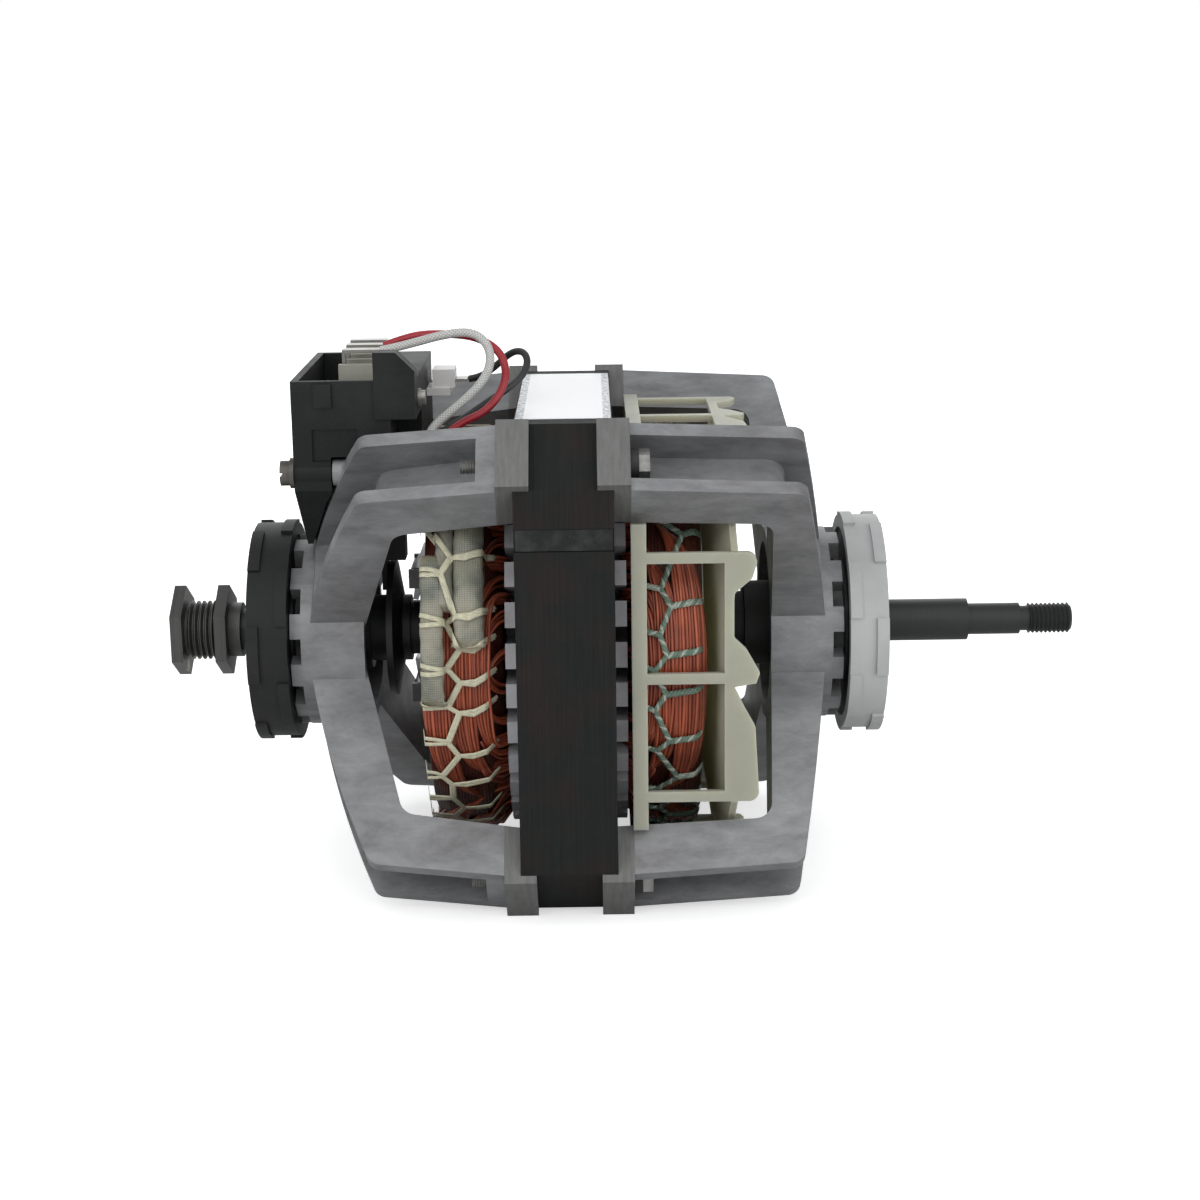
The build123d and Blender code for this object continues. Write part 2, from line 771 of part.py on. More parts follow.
def bearing_retainer(hub_x1):
    """A sprung cup that holds the felt in the hub."""
    x1 = hub_x1 - hub_wall - fit_clearance
    inner_face = x1 - felt_length - fit_clearance
    rim = retainer_r + 1.2
    cup = along_x(rim, inner_face - retainer_thickness, x1)
    cup -= along_x(felt_r + fit_clearance, inner_face, x1 + 1)
    cup -= along_x(journal_r + 1.0, inner_face - 2, x1)
    return cup


def bearing_cap(hub_x1, x0, flange_x, radius, flange_r):
    """A moulded sleeve round the shaft between the rotor and a bearing's retainer."""
    x1 = hub_x1 - hub_wall - felt_length - retainer_thickness - 3 * fit_clearance
    return turned([(x0, cap_bore_r), (x0, radius), (flange_x, radius), (flange_x, flange_r),
                   (x1, flange_r), (x1, cap_bore_r)])


def slinger(x0):
    return along_x(slinger_r, x0, x0 + slinger_thickness, journal_r + fit_clearance)


# Bolts

def hexagon(flats, x0, length):
    """A hexagonal prism along the shaft's direction from x0."""
    return Pos(x0, 0, 0) * Rot(0, 90, 0) * extrude(
        RegularPolygon(flats / 2, 6, major_radius=False), length)


def through_bolt():
    head_x = block_end + washer_thickness + 2 * lap_gap
    thread_end = bolt_tip_x + bolt_thread_length
    profile = [(bolt_tip_x, 0)]
    profile += thread_profile(bolt_tip_x, thread_end, bolt_r, bolt_thread_depth,
                              bolt_thread_pitch)
    profile += [(thread_end + 0.2, bolt_r), (head_x, bolt_r), (head_x, 0)]
    return turned(profile) + hexagon(head_flats, head_x, head_length)


def washer():
    x0 = block_end + lap_gap
    return along_x(washer_r, x0, x0 + washer_thickness, bolt_r + 0.15)


def at_corners(shape):
    return [round_x(a, Pos(0, 0, bolt_u) * shape) for a in corner_angles]


# Air baffle

def end_panel():
    """One side's end plate, scalloped on its outer edge between the struts."""
    edge = strut_offset + strut_half
    points = [(panel_x0, edge), (baffle_end_x, edge), *panel_upper_cut,
              (baffle_end_x, strut_half), (baffle_end_x - 1, -strut_half), *panel_lower_cut,
              (baffle_end_x, -edge), (panel_x0, -edge)]
    rounds = {1: panel_corner_round, 2: panel_round, 3: panel_round, 4: panel_round,
              6: panel_round / 2, 10: panel_round, len(points) - 2: panel_corner_round}
    plate = extrude(fillet_profile(points, rounds), baffle_wall, dir=(0, 1, 0))
    return Pos(0, -baffle_half, 0) * plate


def air_baffle():
    """A moulded shroud: a rim round the end turns, struts along each side and a funnel."""
    x1 = baffle_x0 + baffle_bar
    inner = baffle_half - baffle_wall
    rim = square_stack(baffle_half, baffle_corner_outer, baffle_bar / 2)
    rim -= square_stack(inner, baffle_corner_inner, baffle_bar)
    body = Pos(baffle_x0 + baffle_bar / 2, 0, 0) * rim
    room_half = arm_half_at(arm_inner_u) + baffle_side_gap
    arm_room = block(baffle_x0 - 1, x1 + 1, -room_half, room_half,
                     arm_inner_u - baffle_lip_gap, stack_corner + 10)
    body -= [round_x(a, arm_room) for a in corner_angles]
    side = end_panel()
    for offset in (-strut_offset, 0, strut_offset):
        side += block(x1 - 1, panel_x0 + 1, -baffle_half, -inner,
                      offset - strut_half, offset + strut_half)
    sides = [round_x(90 * i, side) for i in range(4)]
    return body + sides + funnel()


def funnel():
    """The sloped inlet between the end panels and the fan."""
    slope = (baffle_half * 1.15 - funnel_r) / (funnel_x1 - funnel_x0)
    outer = [(funnel_x0, funnel_r), (funnel_x1, baffle_half * 1.15),
             (funnel_x1 + funnel_wall, baffle_half * 1.15), (funnel_x0 + funnel_wall, funnel_r)]
    cone = turned(outer)
    edge = baffle_half - baffle_wall / 2
    trim = square_stack(edge, funnel_corner, tip_x)
    return cone & trim


# Governor

def governor_collar():
    groove_x0 = governor_pivot_x - governor_travel / 2 - collar_groove_width / 2
    groove_x1 = groove_x0 + collar_groove_width
    bore = journal_r + running_clearance
    disc_x1 = collar_x0 + collar_disc_thickness
    return turned([(collar_x0, bore), (collar_x0, collar_disc_r), (disc_x1, collar_disc_r),
                   (disc_x1 + 2.0, collar_r), (groove_x0, collar_r),
                   (groove_x0, collar_groove_r), (groove_x1, collar_groove_r),
                   (groove_x1, collar_r), (collar_x1, collar_r), (collar_x1, bore)])


def governor_plate():
    back = plate_x - plate_thickness
    half_width = weight_half_width + ear_gap + ear_thickness
    plate = block(back, plate_x, -half_width, half_width, -plate_half_length, plate_half_length)
    plate += along_x(governor_hub_r, plate_x - 0.5, plate_x + governor_hub_length)
    for up in (-1, 1):
        for out in (-1, 1):
            y0 = out * (weight_half_width + ear_gap)
            y1 = out * half_width
            plate += block(governor_pivot_x - 2.4, back + 0.5, y0, y1,
                           up * (governor_pivot_r - 3), up * (governor_pivot_r + 2.4))
        pin_hole = Pos(governor_pivot_x, 0, up * governor_pivot_r) * Rot(90, 0, 0) * Cylinder(
            governor_pin_r + fit_clearance, 4 * half_width)
        plate -= pin_hole
    bore = along_x(journal_r + fit_clearance, back - 1, plate_x + governor_hub_length + 1)
    return plate - bore


def governor_pins():
    half = weight_half_width + ear_gap + ear_thickness
    pin = Rot(90, 0, 0) * Cylinder(governor_pin_r, 2 * half)
    return [Pos(governor_pivot_x, 0, up * governor_pivot_r) * pin for up in (-1, 1)]


def governor_weight(up):
    """A pivoted weight whose finger shifts the collar; up is 1 above the shaft, -1 below."""
    boss_r = 2.6
    half = weight_half_width
    pivot = Pos(governor_pivot_x, 0, governor_pivot_r)
    body = pivot * Rot(90, 0, 0) * Cylinder(boss_r, 2 * half)
    body += block(governor_pivot_x + 0.6, governor_pivot_x + weight_reach, -half, half,
                  weight_inner_r, weight_outer_r)
    lean = degrees(governor_travel / finger_length) / 2
    tip = governor_pivot_r - finger_length
    finger = block(governor_pivot_x - finger_thickness / 2, governor_pivot_x + finger_thickness / 2,
                   -3, 3, tip, governor_pivot_r)
    body += pivot * Rot(0, lean, 0) * (Pos(-governor_pivot_x, 0, -governor_pivot_r) * finger)
    hole = pivot * Rot(90, 0, 0) * Cylinder(governor_pin_r + running_clearance, 4 * half)
    body -= hole
    return body if up > 0 else Rot(180, 0, 0) * body


def spring_pitch():
    """The spring fills the room between the collar and the plate."""
    room = plate_x - plate_thickness - collar_x1 - 2 * spring_seat
    return (room - spring_wire * 1.1) / spring_turns


def governor_spring():
    coil = coil_tube(spring_r, spring_pitch(), spring_turns, spring_wire)
    return Pos(collar_x1 + spring_seat + spring_wire * 0.55, 0, 0) * Rot(0, 90, 0) * coil


# Starting switch

def switch_housing():
    """A moulded box, open over the terminals, with a guard in front and a skirt to the hub."""
    box = block(switch_x0, switch_x1, switch_y0, switch_y1, switch_base_z, switch_top_z)
    y0 = switch_y0 + switch_wall
    y1 = switch_y1 - switch_wall
    floor = switch_base_z + switch_wall
    box += switch_skirt()
    box -= block(switch_x0 + switch_wall, switch_step_x + 0.01, y0, y1, floor, switch_top_z + 1)
    box -= block(switch_step_x, switch_x1 - switch_wall, y0, y1, floor,
                 switch_top_z - switch_wall)
    box += block(notch_x - switch_wall, switch_x1, switch_y0, notch_y + switch_wall,
                 switch_base_z, notch_z + switch_wall)
    box -= block(notch_x, switch_x1 + 1, switch_y0 - 1, notch_y, switch_base_z - 1, notch_z)
    box -= Pos(0, clamp_y, clamp_z) * along_x(clamp_screw_r + fit_clearance,
                                              switch_x1 - 5, switch_x1 + 1)
    x0, x1, z0, z1 = front_recess
    box -= block(x0, x1, switch_y0 - 1, switch_y0 + relief_depth, z0, z1)
    x0, x1, z0, z1 = front_pad
    box += block(x0, x1, switch_y0 - relief_depth, switch_y0 + 0.5, z0, z1)
    front = switch_y0 - screen_proud
    screen = block(switch_step_x, switch_x1, front, switch_y0 + screen_thickness,
                   switch_top_z - 1, screen_top_z)
    top_edge = screen.edges().filter_by(Axis.Y).sort_by(lambda e: e.center().X + e.center().Z)
    screen = chamfer(top_edge[-1], screen_round)
    screen += block(switch_step_x, switch_x1, front, switch_y0 + 0.5, notch_z + 0.2,
                    switch_top_z)
    ears = [block(lever_pivot_x - 3, lever_pivot_x + 3, side * (lever_half_width + 0.4),
                  side * (lever_half_width + 2.4), lever_pivot_z - 3, switch_base_z + 1)
            for side in (-1, 1)]
    slot = block(lever_x0 - 2.4, lever_x1 + 2.4, -lever_half_width - 1,
                 lever_half_width + 1, switch_base_z - 1, floor + 1)
    pin_hole = Pos(lever_pivot_x, 0, lever_pivot_z) * Rot(90, 0, 0) * Cylinder(
        lever_pin_r + fit_clearance, 4 * lever_half_width)
    tube = Pos(0, screw_y, screw_z) * along_x(screw_tube_r, switch_x0, skirt_x1)
    screw_hole = Pos(0, screw_y, screw_z) * along_x(lug_hole_r + 0.3, switch_x0 - 1,
                                                    skirt_x1 + 1)
    return box + screen + ears + tube - slot - pin_hole - screw_hole


def arm_room(angle):
    """The space round one bracket arm at the belt end, for what has to clear it."""
    gap = skirt_arm_gap
    outline = [(0, hub_r - 8), (-belt_rim_end[0] - gap, hub_r - 8),
               (-belt_rim_end[0] - gap, belt_rim_end[1]),
               (-belt_rim_mid[0] - gap, belt_rim_mid[1]),
               (-belt_knee[0] - gap, belt_knee[1]), (0, belt_knee[1])]
    room = extrude(side_face(outline), 2 * arm_half_width, dir=(0, 1, 0), both=True)
    prism = mirror(arm_width_prism(arm_half_width + gap, arm_flare, tip_x), Plane.YZ)
    return round_x(angle, room & prism)


def switch_skirt():
    """The tapered shell under the box that reaches down between the arms to the hub."""
    high = switch_base_z + 0.5
    outline = [(switch_y0, high), (switch_y1, high), (switch_y1, switch_base_z - 7),
               (skirt_base_half, skirt_base_z), (skirt_front_y, skirt_base_z),
               (switch_y0, skirt_knee_z)]
    wall = skirt_wall
    hollow = [(switch_y0 + wall, high + 1), (switch_y1 - wall, high + 1),
              (switch_y1 - wall, switch_base_z - 6), (skirt_base_half - 1.4 * wall, skirt_base_z - 1),
              (skirt_front_y + 1.4 * wall, skirt_base_z - 1),
              (switch_y0 + wall, skirt_knee_z + 0.4 * wall)]
    length = skirt_x1 - switch_x0
    shell = extrude(end_face(outline, switch_x0), length, dir=(1, 0, 0))
    shell -= extrude(end_face(hollow, switch_x0 + switch_wall), length, dir=(1, 0, 0))
    return shell - arm_room(45) - arm_room(315)


def switch_lever():
    """The arm that the collar's disc pushes, hung on a pin under the switch."""
    low = collar_disc_r + lever_disc_gap
    half = lever_half_width
    bar = block(lever_x0, lever_x1, -half, half, low, switch_base_z + switch_wall - 0.4)
    pad_x1 = collar_x0 - lever_gap
    pad_x0 = pad_x1 - lever_pad_thickness
    pad = block(pad_x0, pad_x1, -half, half, lever_pad_z - 3, low + 3)
    link = block(pad_x0, lever_x0 + 1, -half, half, low, low + 3)
    hole = Pos(lever_pivot_x, 0, lever_pivot_z) * Rot(90, 0, 0) * Cylinder(
        lever_pin_r + running_clearance, 4 * half)
    return bar + pad + link - hole


def switch_lever_pin():
    length = 2 * (lever_half_width + 2.4)
    return Pos(lever_pivot_x, 0, lever_pivot_z) * Rot(90, 0, 0) * Cylinder(lever_pin_r, length)


def terminal_frame():
    """The pale inner moulding that carries the terminals."""
    x1 = switch_step_x - fit_clearance
    floor = switch_base_z + switch_wall + fit_clearance
    top = switch_top_z + 2
    y0, y1 = frame_walls[0], frame_walls[-1] + frame_wall
    frame = block(frame_x0, x1, y0, y1, floor, floor + frame_floor)
    for y in frame_walls:
        frame += block(frame_x0, x1, y, y + frame_wall, floor, top)
    frame += block(x1 - 2, x1, y0, y1, floor, top - 4)
    groove = block(frame_x0 - 1, x1 + 1, -leaf_half_width - 0.3, leaf_half_width + 0.3,
                   floor - 1, floor + leaf_thickness + 0.3)
    return frame - groove


def terminals():
    """Brass blades standing in the frame and lying out over its top."""
    floor = switch_base_z + switch_wall + frame_floor + 2 * fit_clearance
    top = switch_top_z + 5.5
    blades = []
    for before, after in zip(frame_walls, frame_walls[1:]):
        y = (before + frame_wall + after) / 2
        x = frame_x0 + 0.6
        upright = block(x, x + spade_thickness, y - spade_width / 2, y + spade_width / 2,
                        floor, top)
        lying = block(x, x + spade_length, y - spade_width / 2, y + spade_width / 2,
                      top - spade_thickness, top)
        blades.append(upright + lying)
    return blades


def contact_leaf():
    """The sprung contact whose tip the lever's upper end moves."""
    z0 = switch_base_z + switch_wall + fit_clearance
    half = leaf_half_width
    tip_x1 = lever_x0 - 1.0
    foot = block(switch_x0 + 3, switch_x0 + 8, -half, half, z0, z0 + leaf_thickness)
    leaf = block(switch_x0 + 7, tip_x1, -half, half, z0, z0 + leaf_thickness)
    tip = block(tip_x1 - leaf_thickness, tip_x1, -half + 1.4, half - 1.4, z0 - 1.6,
                z0 + leaf_thickness)
    return foot + leaf + tip


def thermal_protector():
    z0 = switch_base_z + switch_wall + fit_clearance
    return Pos(switch_x1 - protector_inset, protector_y, z0) * Cylinder(
        protector_r, protector_height, align=(Align.CENTER, Align.CENTER, Align.MIN))


def switch_screw():
    head_x1 = switch_x0 - 1.2
    head = along_x(screw_head_r, head_x1 - 2.6, head_x1)
    shank = along_x(lug_hole_r - fit_clearance, head_x1 - 0.1, lug_x0 + screw_reach)
    slot = block(head_x1 - 3, head_x1 - 1.6, -5, 5, -0.5, 0.5)
    return Pos(0, screw_y, screw_z) * (head + shank - slot)


def switch_screw_washer():
    return Pos(0, screw_y, screw_z) * along_x(
        screw_washer_r, switch_x0 - 1.2 + fit_clearance, switch_x0 - fit_clearance,
        lug_hole_r + 0.2)


def clamp_screw():
    """A small screw and cup washer in the box's end wall."""
    x0 = switch_x1 + fit_clearance
    body = along_x(clamp_screw_r, x0 - 4.4, x0 + 0.1) + along_x(clamp_head_r, x0, x0 + 0.7)
    body += along_x(clamp_head_r * 0.8, x0 + 0.5, x0 + 2.0)
    return Pos(0, clamp_y, clamp_z) * body


def wire_connector():
    """A small nylon connector body plugged on the side of the switch."""
    x0 = switch_x1 + fit_clearance
    body = block(x0 + plug_height * 0.8, x0 + connector_reach, connector_y0, connector_y1,
                 connector_z, connector_z + connector_height)
    return body + block(x0, x0 + plug_reach, connector_y0 - plug_lip, connector_y1 + plug_lip,
                        connector_z - plug_height, connector_z)


def connector_blade():
    x0 = switch_x1 + connector_reach + 2 * fit_clearance
    z0 = connector_z + blade_rise
    middle = (connector_y0 + connector_y1) / 2
    return block(x0, x0 + blade_reach, middle - blade_width / 2, middle + blade_width / 2,
                 z0, z0 + spade_thickness)


# Leads

def corner_radii(points):
    """The largest tangent arcs that a route's runs allow."""
    vectors = [Vector(*p) for p in points]
    radii = []
    for before, here, after in zip(vectors, vectors[1:], vectors[2:]):
        turn = radians((here - before).get_angle(after - here))
        shorter = min((here - before).length, (after - here).length)
        radii.append(0.45 * shorter / tan(turn / 2))
    return radii


def lead(route, diameter, name):
    radii = corner_radii(route)
    path = FilletPolyline(*route, radius=radii)
    start = Vector(*route[0])
    heading = (Vector(*route[1]) - start).normalized()
    section = Plane(origin=start, z_dir=heading) * Circle(diameter / 2)
    tube = sweep(section, path=path)
    ideal = pi * diameter ** 2 / 4 * path.length
    print(name, "length", round(path.length, 1), "volume ratio", round(tube.volume / ideal, 3),
          "least radius", round(min(radii), 1))
    return tube


def rating_label():
    half_x = stack_face - 0.3
    half_y = stack_half * 0.66
    z0 = stack_half + fit_clearance
    return block(-half_x, half_x, -half_y, half_y, z0, z0 + 0.15)


os.makedirs("parts", exist_ok=True)

put("stator_core", stator_core())
put("stator_cleats", stator_cleats())
put("slot_liners", slot_liners())
put("stator_winding", stator_winding())
put("winding_turns_belt_end", winding_turns(belt_winding_reach, -1))
put("winding_turns_blower_end", winding_turns(blower_winding_reach, 1))
put("lacing_belt_end", lacing(belt_winding_reach, -1))
put("lacing_blower_end", lacing(blower_winding_reach, 1))
put("lead_sleeves", lead_sleeves())
put("rating_label", rating_label())

put("rotor_core", rotor_core())
put("rotor_end_ring_belt_end", rotor_end_ring(-1))
put("rotor_end_ring_blower_end", rotor_end_ring(1))
put("shaft", shaft())
put("belt_pulley", pulley())

put("belt_end_bracket", belt_bracket())
put("blower_end_bracket", blower_bracket())
put("through_bolts", at_corners(through_bolt()))
put("bolt_washers", at_corners(washer()))

put("belt_end_mount_ring", mirror(mount_ring(*belt_ring_x), Plane.YZ))
put("belt_end_mount_cushion", mirror(mount_cushion(*belt_ring_x), Plane.YZ))
put("belt_end_mount_sleeve", mirror(mount_sleeve(*belt_ring_x, belt_nose_x), Plane.YZ))
put("blower_end_mount_ring", mount_ring(*blower_ring_x))
put("blower_end_mount_cushion", mount_cushion(*blower_ring_x))
put("blower_end_mount_sleeve", mount_sleeve(*blower_ring_x, blower_nose_x))

put("belt_end_bearing", mirror(bearing(belt_nose_x), Plane.YZ))
put("belt_end_oil_felt", mirror(oil_felt(belt_hub_x1), Plane.YZ))
put("belt_end_bearing_retainer", mirror(bearing_retainer(belt_hub_x1), Plane.YZ))
put("blower_end_bearing", bearing(blower_nose_x))
put("blower_end_oil_felt", oil_felt(blower_hub_x1))
put("blower_end_bearing_retainer", bearing_retainer(blower_hub_x1))
put("belt_end_bearing_cap", mirror(bearing_cap(
    belt_hub_x1, belt_cap_x, belt_hub_x0, belt_cap_r, belt_cap_r + 2), Plane.YZ))
put("blower_end_bearing_cap", bearing_cap(
    blower_hub_x1, blower_cap_x, blower_cap_flange_x, blower_cap_r, blower_cap_flange_r))
put("oil_slingers", [slinger(-belt_nose_x - 1.0 - slinger_thickness),
                     slinger(blower_nose_x + 1.0)])

put("air_baffle", air_baffle())

put("governor_collar", governor_collar())
put("governor_plate", governor_plate())
put("governor_pins", governor_pins())
put("governor_weight_upper", governor_weight(1))
put("governor_weight_lower", governor_weight(-1))
put("governor_spring", governor_spring())

put("switch_housing", switch_housing())
put("switch_lever", switch_lever())
put("switch_lever_pin", switch_lever_pin())
put("switch_terminal_frame", terminal_frame())
put("switch_terminals", terminals())
put("switch_contact_leaf", contact_leaf())
put("switch_screw", switch_screw())
put("switch_screw_washer", switch_screw_washer())
put("lead_clamp_screw", clamp_screw())
put("thermal_protector", thermal_protector())
put("wire_connector", wire_connector())
put("connector_blade", connector_blade())

put("lead_white", lead(white_route, white_lead_d, "white lead"))
put("lead_red", lead(red_route, red_lead_d, "red lead"))
put("lead_black", lead(black_route, black_lead_d, "black lead"))

pitch = turn_diameter + turn_gap
print("least gap between end turns", round(least_gap(turn_radius, pitch, 3, turn_diameter), 2))
print("least gap between spring turns",
      round(least_gap(spring_r, spring_pitch(), 3, spring_wire), 2))
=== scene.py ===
import math

import bpy
from mathutils import Matrix, Vector


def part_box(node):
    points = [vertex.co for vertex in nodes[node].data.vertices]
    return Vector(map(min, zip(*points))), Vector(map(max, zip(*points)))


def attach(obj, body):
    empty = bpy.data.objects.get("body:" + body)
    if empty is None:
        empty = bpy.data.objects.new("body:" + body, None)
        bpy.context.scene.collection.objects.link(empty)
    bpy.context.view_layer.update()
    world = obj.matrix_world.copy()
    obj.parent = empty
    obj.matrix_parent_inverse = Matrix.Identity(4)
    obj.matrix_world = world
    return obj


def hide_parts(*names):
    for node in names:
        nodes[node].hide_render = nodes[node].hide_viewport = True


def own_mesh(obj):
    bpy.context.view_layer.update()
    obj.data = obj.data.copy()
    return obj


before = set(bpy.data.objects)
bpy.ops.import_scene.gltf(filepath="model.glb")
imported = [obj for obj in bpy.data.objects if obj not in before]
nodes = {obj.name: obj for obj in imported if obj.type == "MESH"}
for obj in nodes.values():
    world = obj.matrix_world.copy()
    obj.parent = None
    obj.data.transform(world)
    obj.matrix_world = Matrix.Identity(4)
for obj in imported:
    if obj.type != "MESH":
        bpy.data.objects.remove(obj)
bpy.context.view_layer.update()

bpy.ops.object.select_all(action="DESELECT")
scene = bpy.context.scene

# Camera and lights. The photograph was taken from a little above the motor's front, from about
# 0.64 m away. Places are given in millimetres from the middle of the stator, on the shaft's axis.
stator_low, stator_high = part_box("stator_core")
middle_x = (stator_low.x + stator_high.x) / 2
floor_z = stator_low.z
for name in ("belt_end_bracket", "blower_end_bracket"):
    floor_z = min(floor_z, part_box(name)[0].z)


def at(x, y, z):
    """A place given in millimetres from the middle of the stator."""
    return Vector((middle_x + x / 1000, y / 1000, z / 1000))


camera_data = bpy.data.cameras.new("photo_camera")
camera_data.sensor_width = 36
camera_data.lens = 66.24
camera_data.clip_start = 0.01
camera = bpy.data.objects.new("photo_camera", camera_data)
scene.collection.objects.link(camera)
scene.camera = camera
camera_right = Vector((0.99989207, -0.00600857, -0.01340727))
camera_up = Vector((0.01443898, 0.23321406, 0.97231822))
camera_back = Vector((-0.00271548, -0.97240686, 0.23327565))
camera_matrix = Matrix((camera_right, camera_up, camera_back)).transposed().to_4x4()
camera_matrix.translation = at(7.534, -621.66, 156.313)
camera.matrix_world = camera_matrix

scene.view_settings.view_transform = "Standard"


def add(tree, kind, inputs=None, **settings):
    """Adds a shader node; an input is a value, or another node's output to link."""
    made = tree.nodes.new(kind)
    for name, value in settings.items():
        setattr(made, name, value)
    for name, value in (inputs or {}).items():
        if isinstance(value, bpy.types.NodeSocket):
            tree.links.new(value, made.inputs[name])
        else:
            made.inputs[name].default_value = value
    return made


def camera_sees(tree):
    """1 for rays that the camera sends, else 0."""
    return add(tree, "ShaderNodeLightPath").outputs["Is Camera Ray"]


def mix(tree, factor, first, second):
    """The second colour over the first, by a factor."""
    made = add(tree, "ShaderNodeMix", {"Factor": factor, 6: first, 7: second}, data_type="RGBA")
    return made.outputs[2]


def bump(tree, strength, distance, height, normal=None, invert=False):
    """A normal that follows a height, over another normal where one is given."""
    inputs = {"Strength": strength, "Distance": distance, "Height": height}
    if normal is not None:
        inputs["Normal"] = normal
    return add(tree, "ShaderNodeBump", inputs, invert=invert).outputs[0]


world = bpy.data.worlds.new("studio")
scene.world = world
world.use_nodes = True
world.node_tree.nodes.clear()
sky = world.node_tree
even_light = add(sky, "ShaderNodeBackground", {"Color": (0.95, 0.98, 1, 1), "Strength": 0.44})
white_wall = add(sky, "ShaderNodeBackground", {"Color": (1, 1, 1, 1), "Strength": 1.0})
mixed = add(sky, "ShaderNodeMixShader", {0: camera_sees(sky), 1: even_light.outputs[0],
                                         2: white_wall.outputs[0]})
add(sky, "ShaderNodeOutputWorld", {"Surface": mixed.outputs[0]})


def soft_box(name, place, target, size, power):
    """A square studio lamp aimed at a point."""
    data = bpy.data.lights.new(name, "AREA")
    data.shape = "SQUARE"
    data.size = size
    data.energy = power
    lamp = bpy.data.objects.new(name, data)
    scene.collection.objects.link(lamp)
    lamp.location = place
    lamp.rotation_euler = (target - place).to_track_quat("-Z", "Y").to_euler()


aim = at(0, 0, 0)
soft_box("lamp_over", at(-40, -460, 560), aim, 0.9, 2.2)
soft_box("lamp_left", at(-600, -520, 160), aim, 0.6, 2.1)
soft_box("lamp_right", at(600, -500, 140), aim, 0.6, 2.1)
soft_box("lamp_behind", at(-60, 700, 330), aim, 0.9, 2.6)

bpy.ops.mesh.primitive_plane_add(size=6, location=(middle_x, 0, floor_z))
floor = bpy.context.object
floor.name = "floor"
paper = bpy.data.materials.new("white_paper")
paper.use_nodes = True
sheet = paper.node_tree
sheet.nodes.clear()
plain = add(sheet, "ShaderNodeBsdfDiffuse", {"Color": (0.9, 0.9, 0.9, 1)})
dull = add(sheet, "ShaderNodeBsdfDiffuse", {"Color": (0.72, 0.72, 0.72, 1)})
place = add(sheet, "ShaderNodeTexCoord")
far_away = add(sheet, "ShaderNodeVectorMath", {0: place.outputs["Object"]}, operation="LENGTH")
fade = add(sheet, "ShaderNodeMapRange", {"Value": far_away.outputs["Value"], "From Min": 0.25,
                                         "From Max": 1.2, "To Min": 0.56, "To Max": 1.0})
glow = add(sheet, "ShaderNodeEmission", {"Color": (1, 1, 1, 1), "Strength": fade.outputs[0]})
seen_floor = add(sheet, "ShaderNodeAddShader", {0: plain.outputs[0], 1: glow.outputs[0]})
floor_mix = add(sheet, "ShaderNodeMixShader", {0: camera_sees(sheet), 1: dull.outputs[0],
                                               2: seen_floor.outputs[0]})
add(sheet, "ShaderNodeOutputMaterial", {"Surface": floor_mix.outputs[0]})
floor.data.materials.append(paper)


# Leads. Three insulated wires loop from the starting switch over to the windings: one in white
# glass braid, one in red and one in black silicone rubber. Each keeps its route from the model.
def new_material(name):
    """An empty material with its shader and object coordinates."""
    material = bpy.data.materials.new(name)
    material.use_nodes = True
    tree = material.node_tree
    tree.nodes.clear()
    shader = add(tree, "ShaderNodeBsdfPrincipled")
    add(tree, "ShaderNodeOutputMaterial", {"Surface": shader.outputs[0]})
    where = add(tree, "ShaderNodeTexCoord")
    return material, tree, shader, where


def set_shader(shader, **values):
    """Sets the shader's inputs by short names."""
    names = {"metallic": "Metallic", "roughness": "Roughness",
             "coat": "Coat Weight", "coat_roughness": "Coat Roughness",
             "specular": "Specular IOR Level", "subsurface": "Subsurface Weight",
             "subsurface_radius": "Subsurface Radius", "subsurface_scale": "Subsurface Scale"}
    for key, value in values.items():
        shader.inputs[names[key]].default_value = value


def ramp_between(tree, factor, dark, light, low=0.3, high=0.7):
    """A colour ramp from dark to light."""
    ramp = add(tree, "ShaderNodeValToRGB", {"Fac": factor})
    ramp.color_ramp.elements[0].position = low
    ramp.color_ramp.elements[0].color = (*dark, 1)
    ramp.color_ramp.elements[1].position = high
    ramp.color_ramp.elements[1].color = (*light, 1)
    return ramp.outputs["Color"]


def shader_group(name, inputs, outputs):
    """A node group with named sockets; returns the tree and its input and output nodes."""
    tree = bpy.data.node_groups.new(name, "ShaderNodeTree")
    for label, kind, value in inputs:
        socket = tree.interface.new_socket(label, in_out="INPUT", socket_type=kind)
        socket.default_value = value
    for label, kind in outputs:
        tree.interface.new_socket(label, in_out="OUTPUT", socket_type=kind)
    return tree, tree.nodes.new("NodeGroupInput"), tree.nodes.new("NodeGroupOutput")


def place_group(tree, group, inputs):
    return add(tree, "ShaderNodeGroup", inputs, node_tree=group)


def link_marks(tree, group, shader):
    """Gives the shader the marks' colour, roughness and normal."""
    for label, output in (("Base Color", "Color"), ("Roughness", "Roughness"),
                          ("Normal", "Normal")):
        tree.links.new(group.outputs[output], shader.inputs[label])


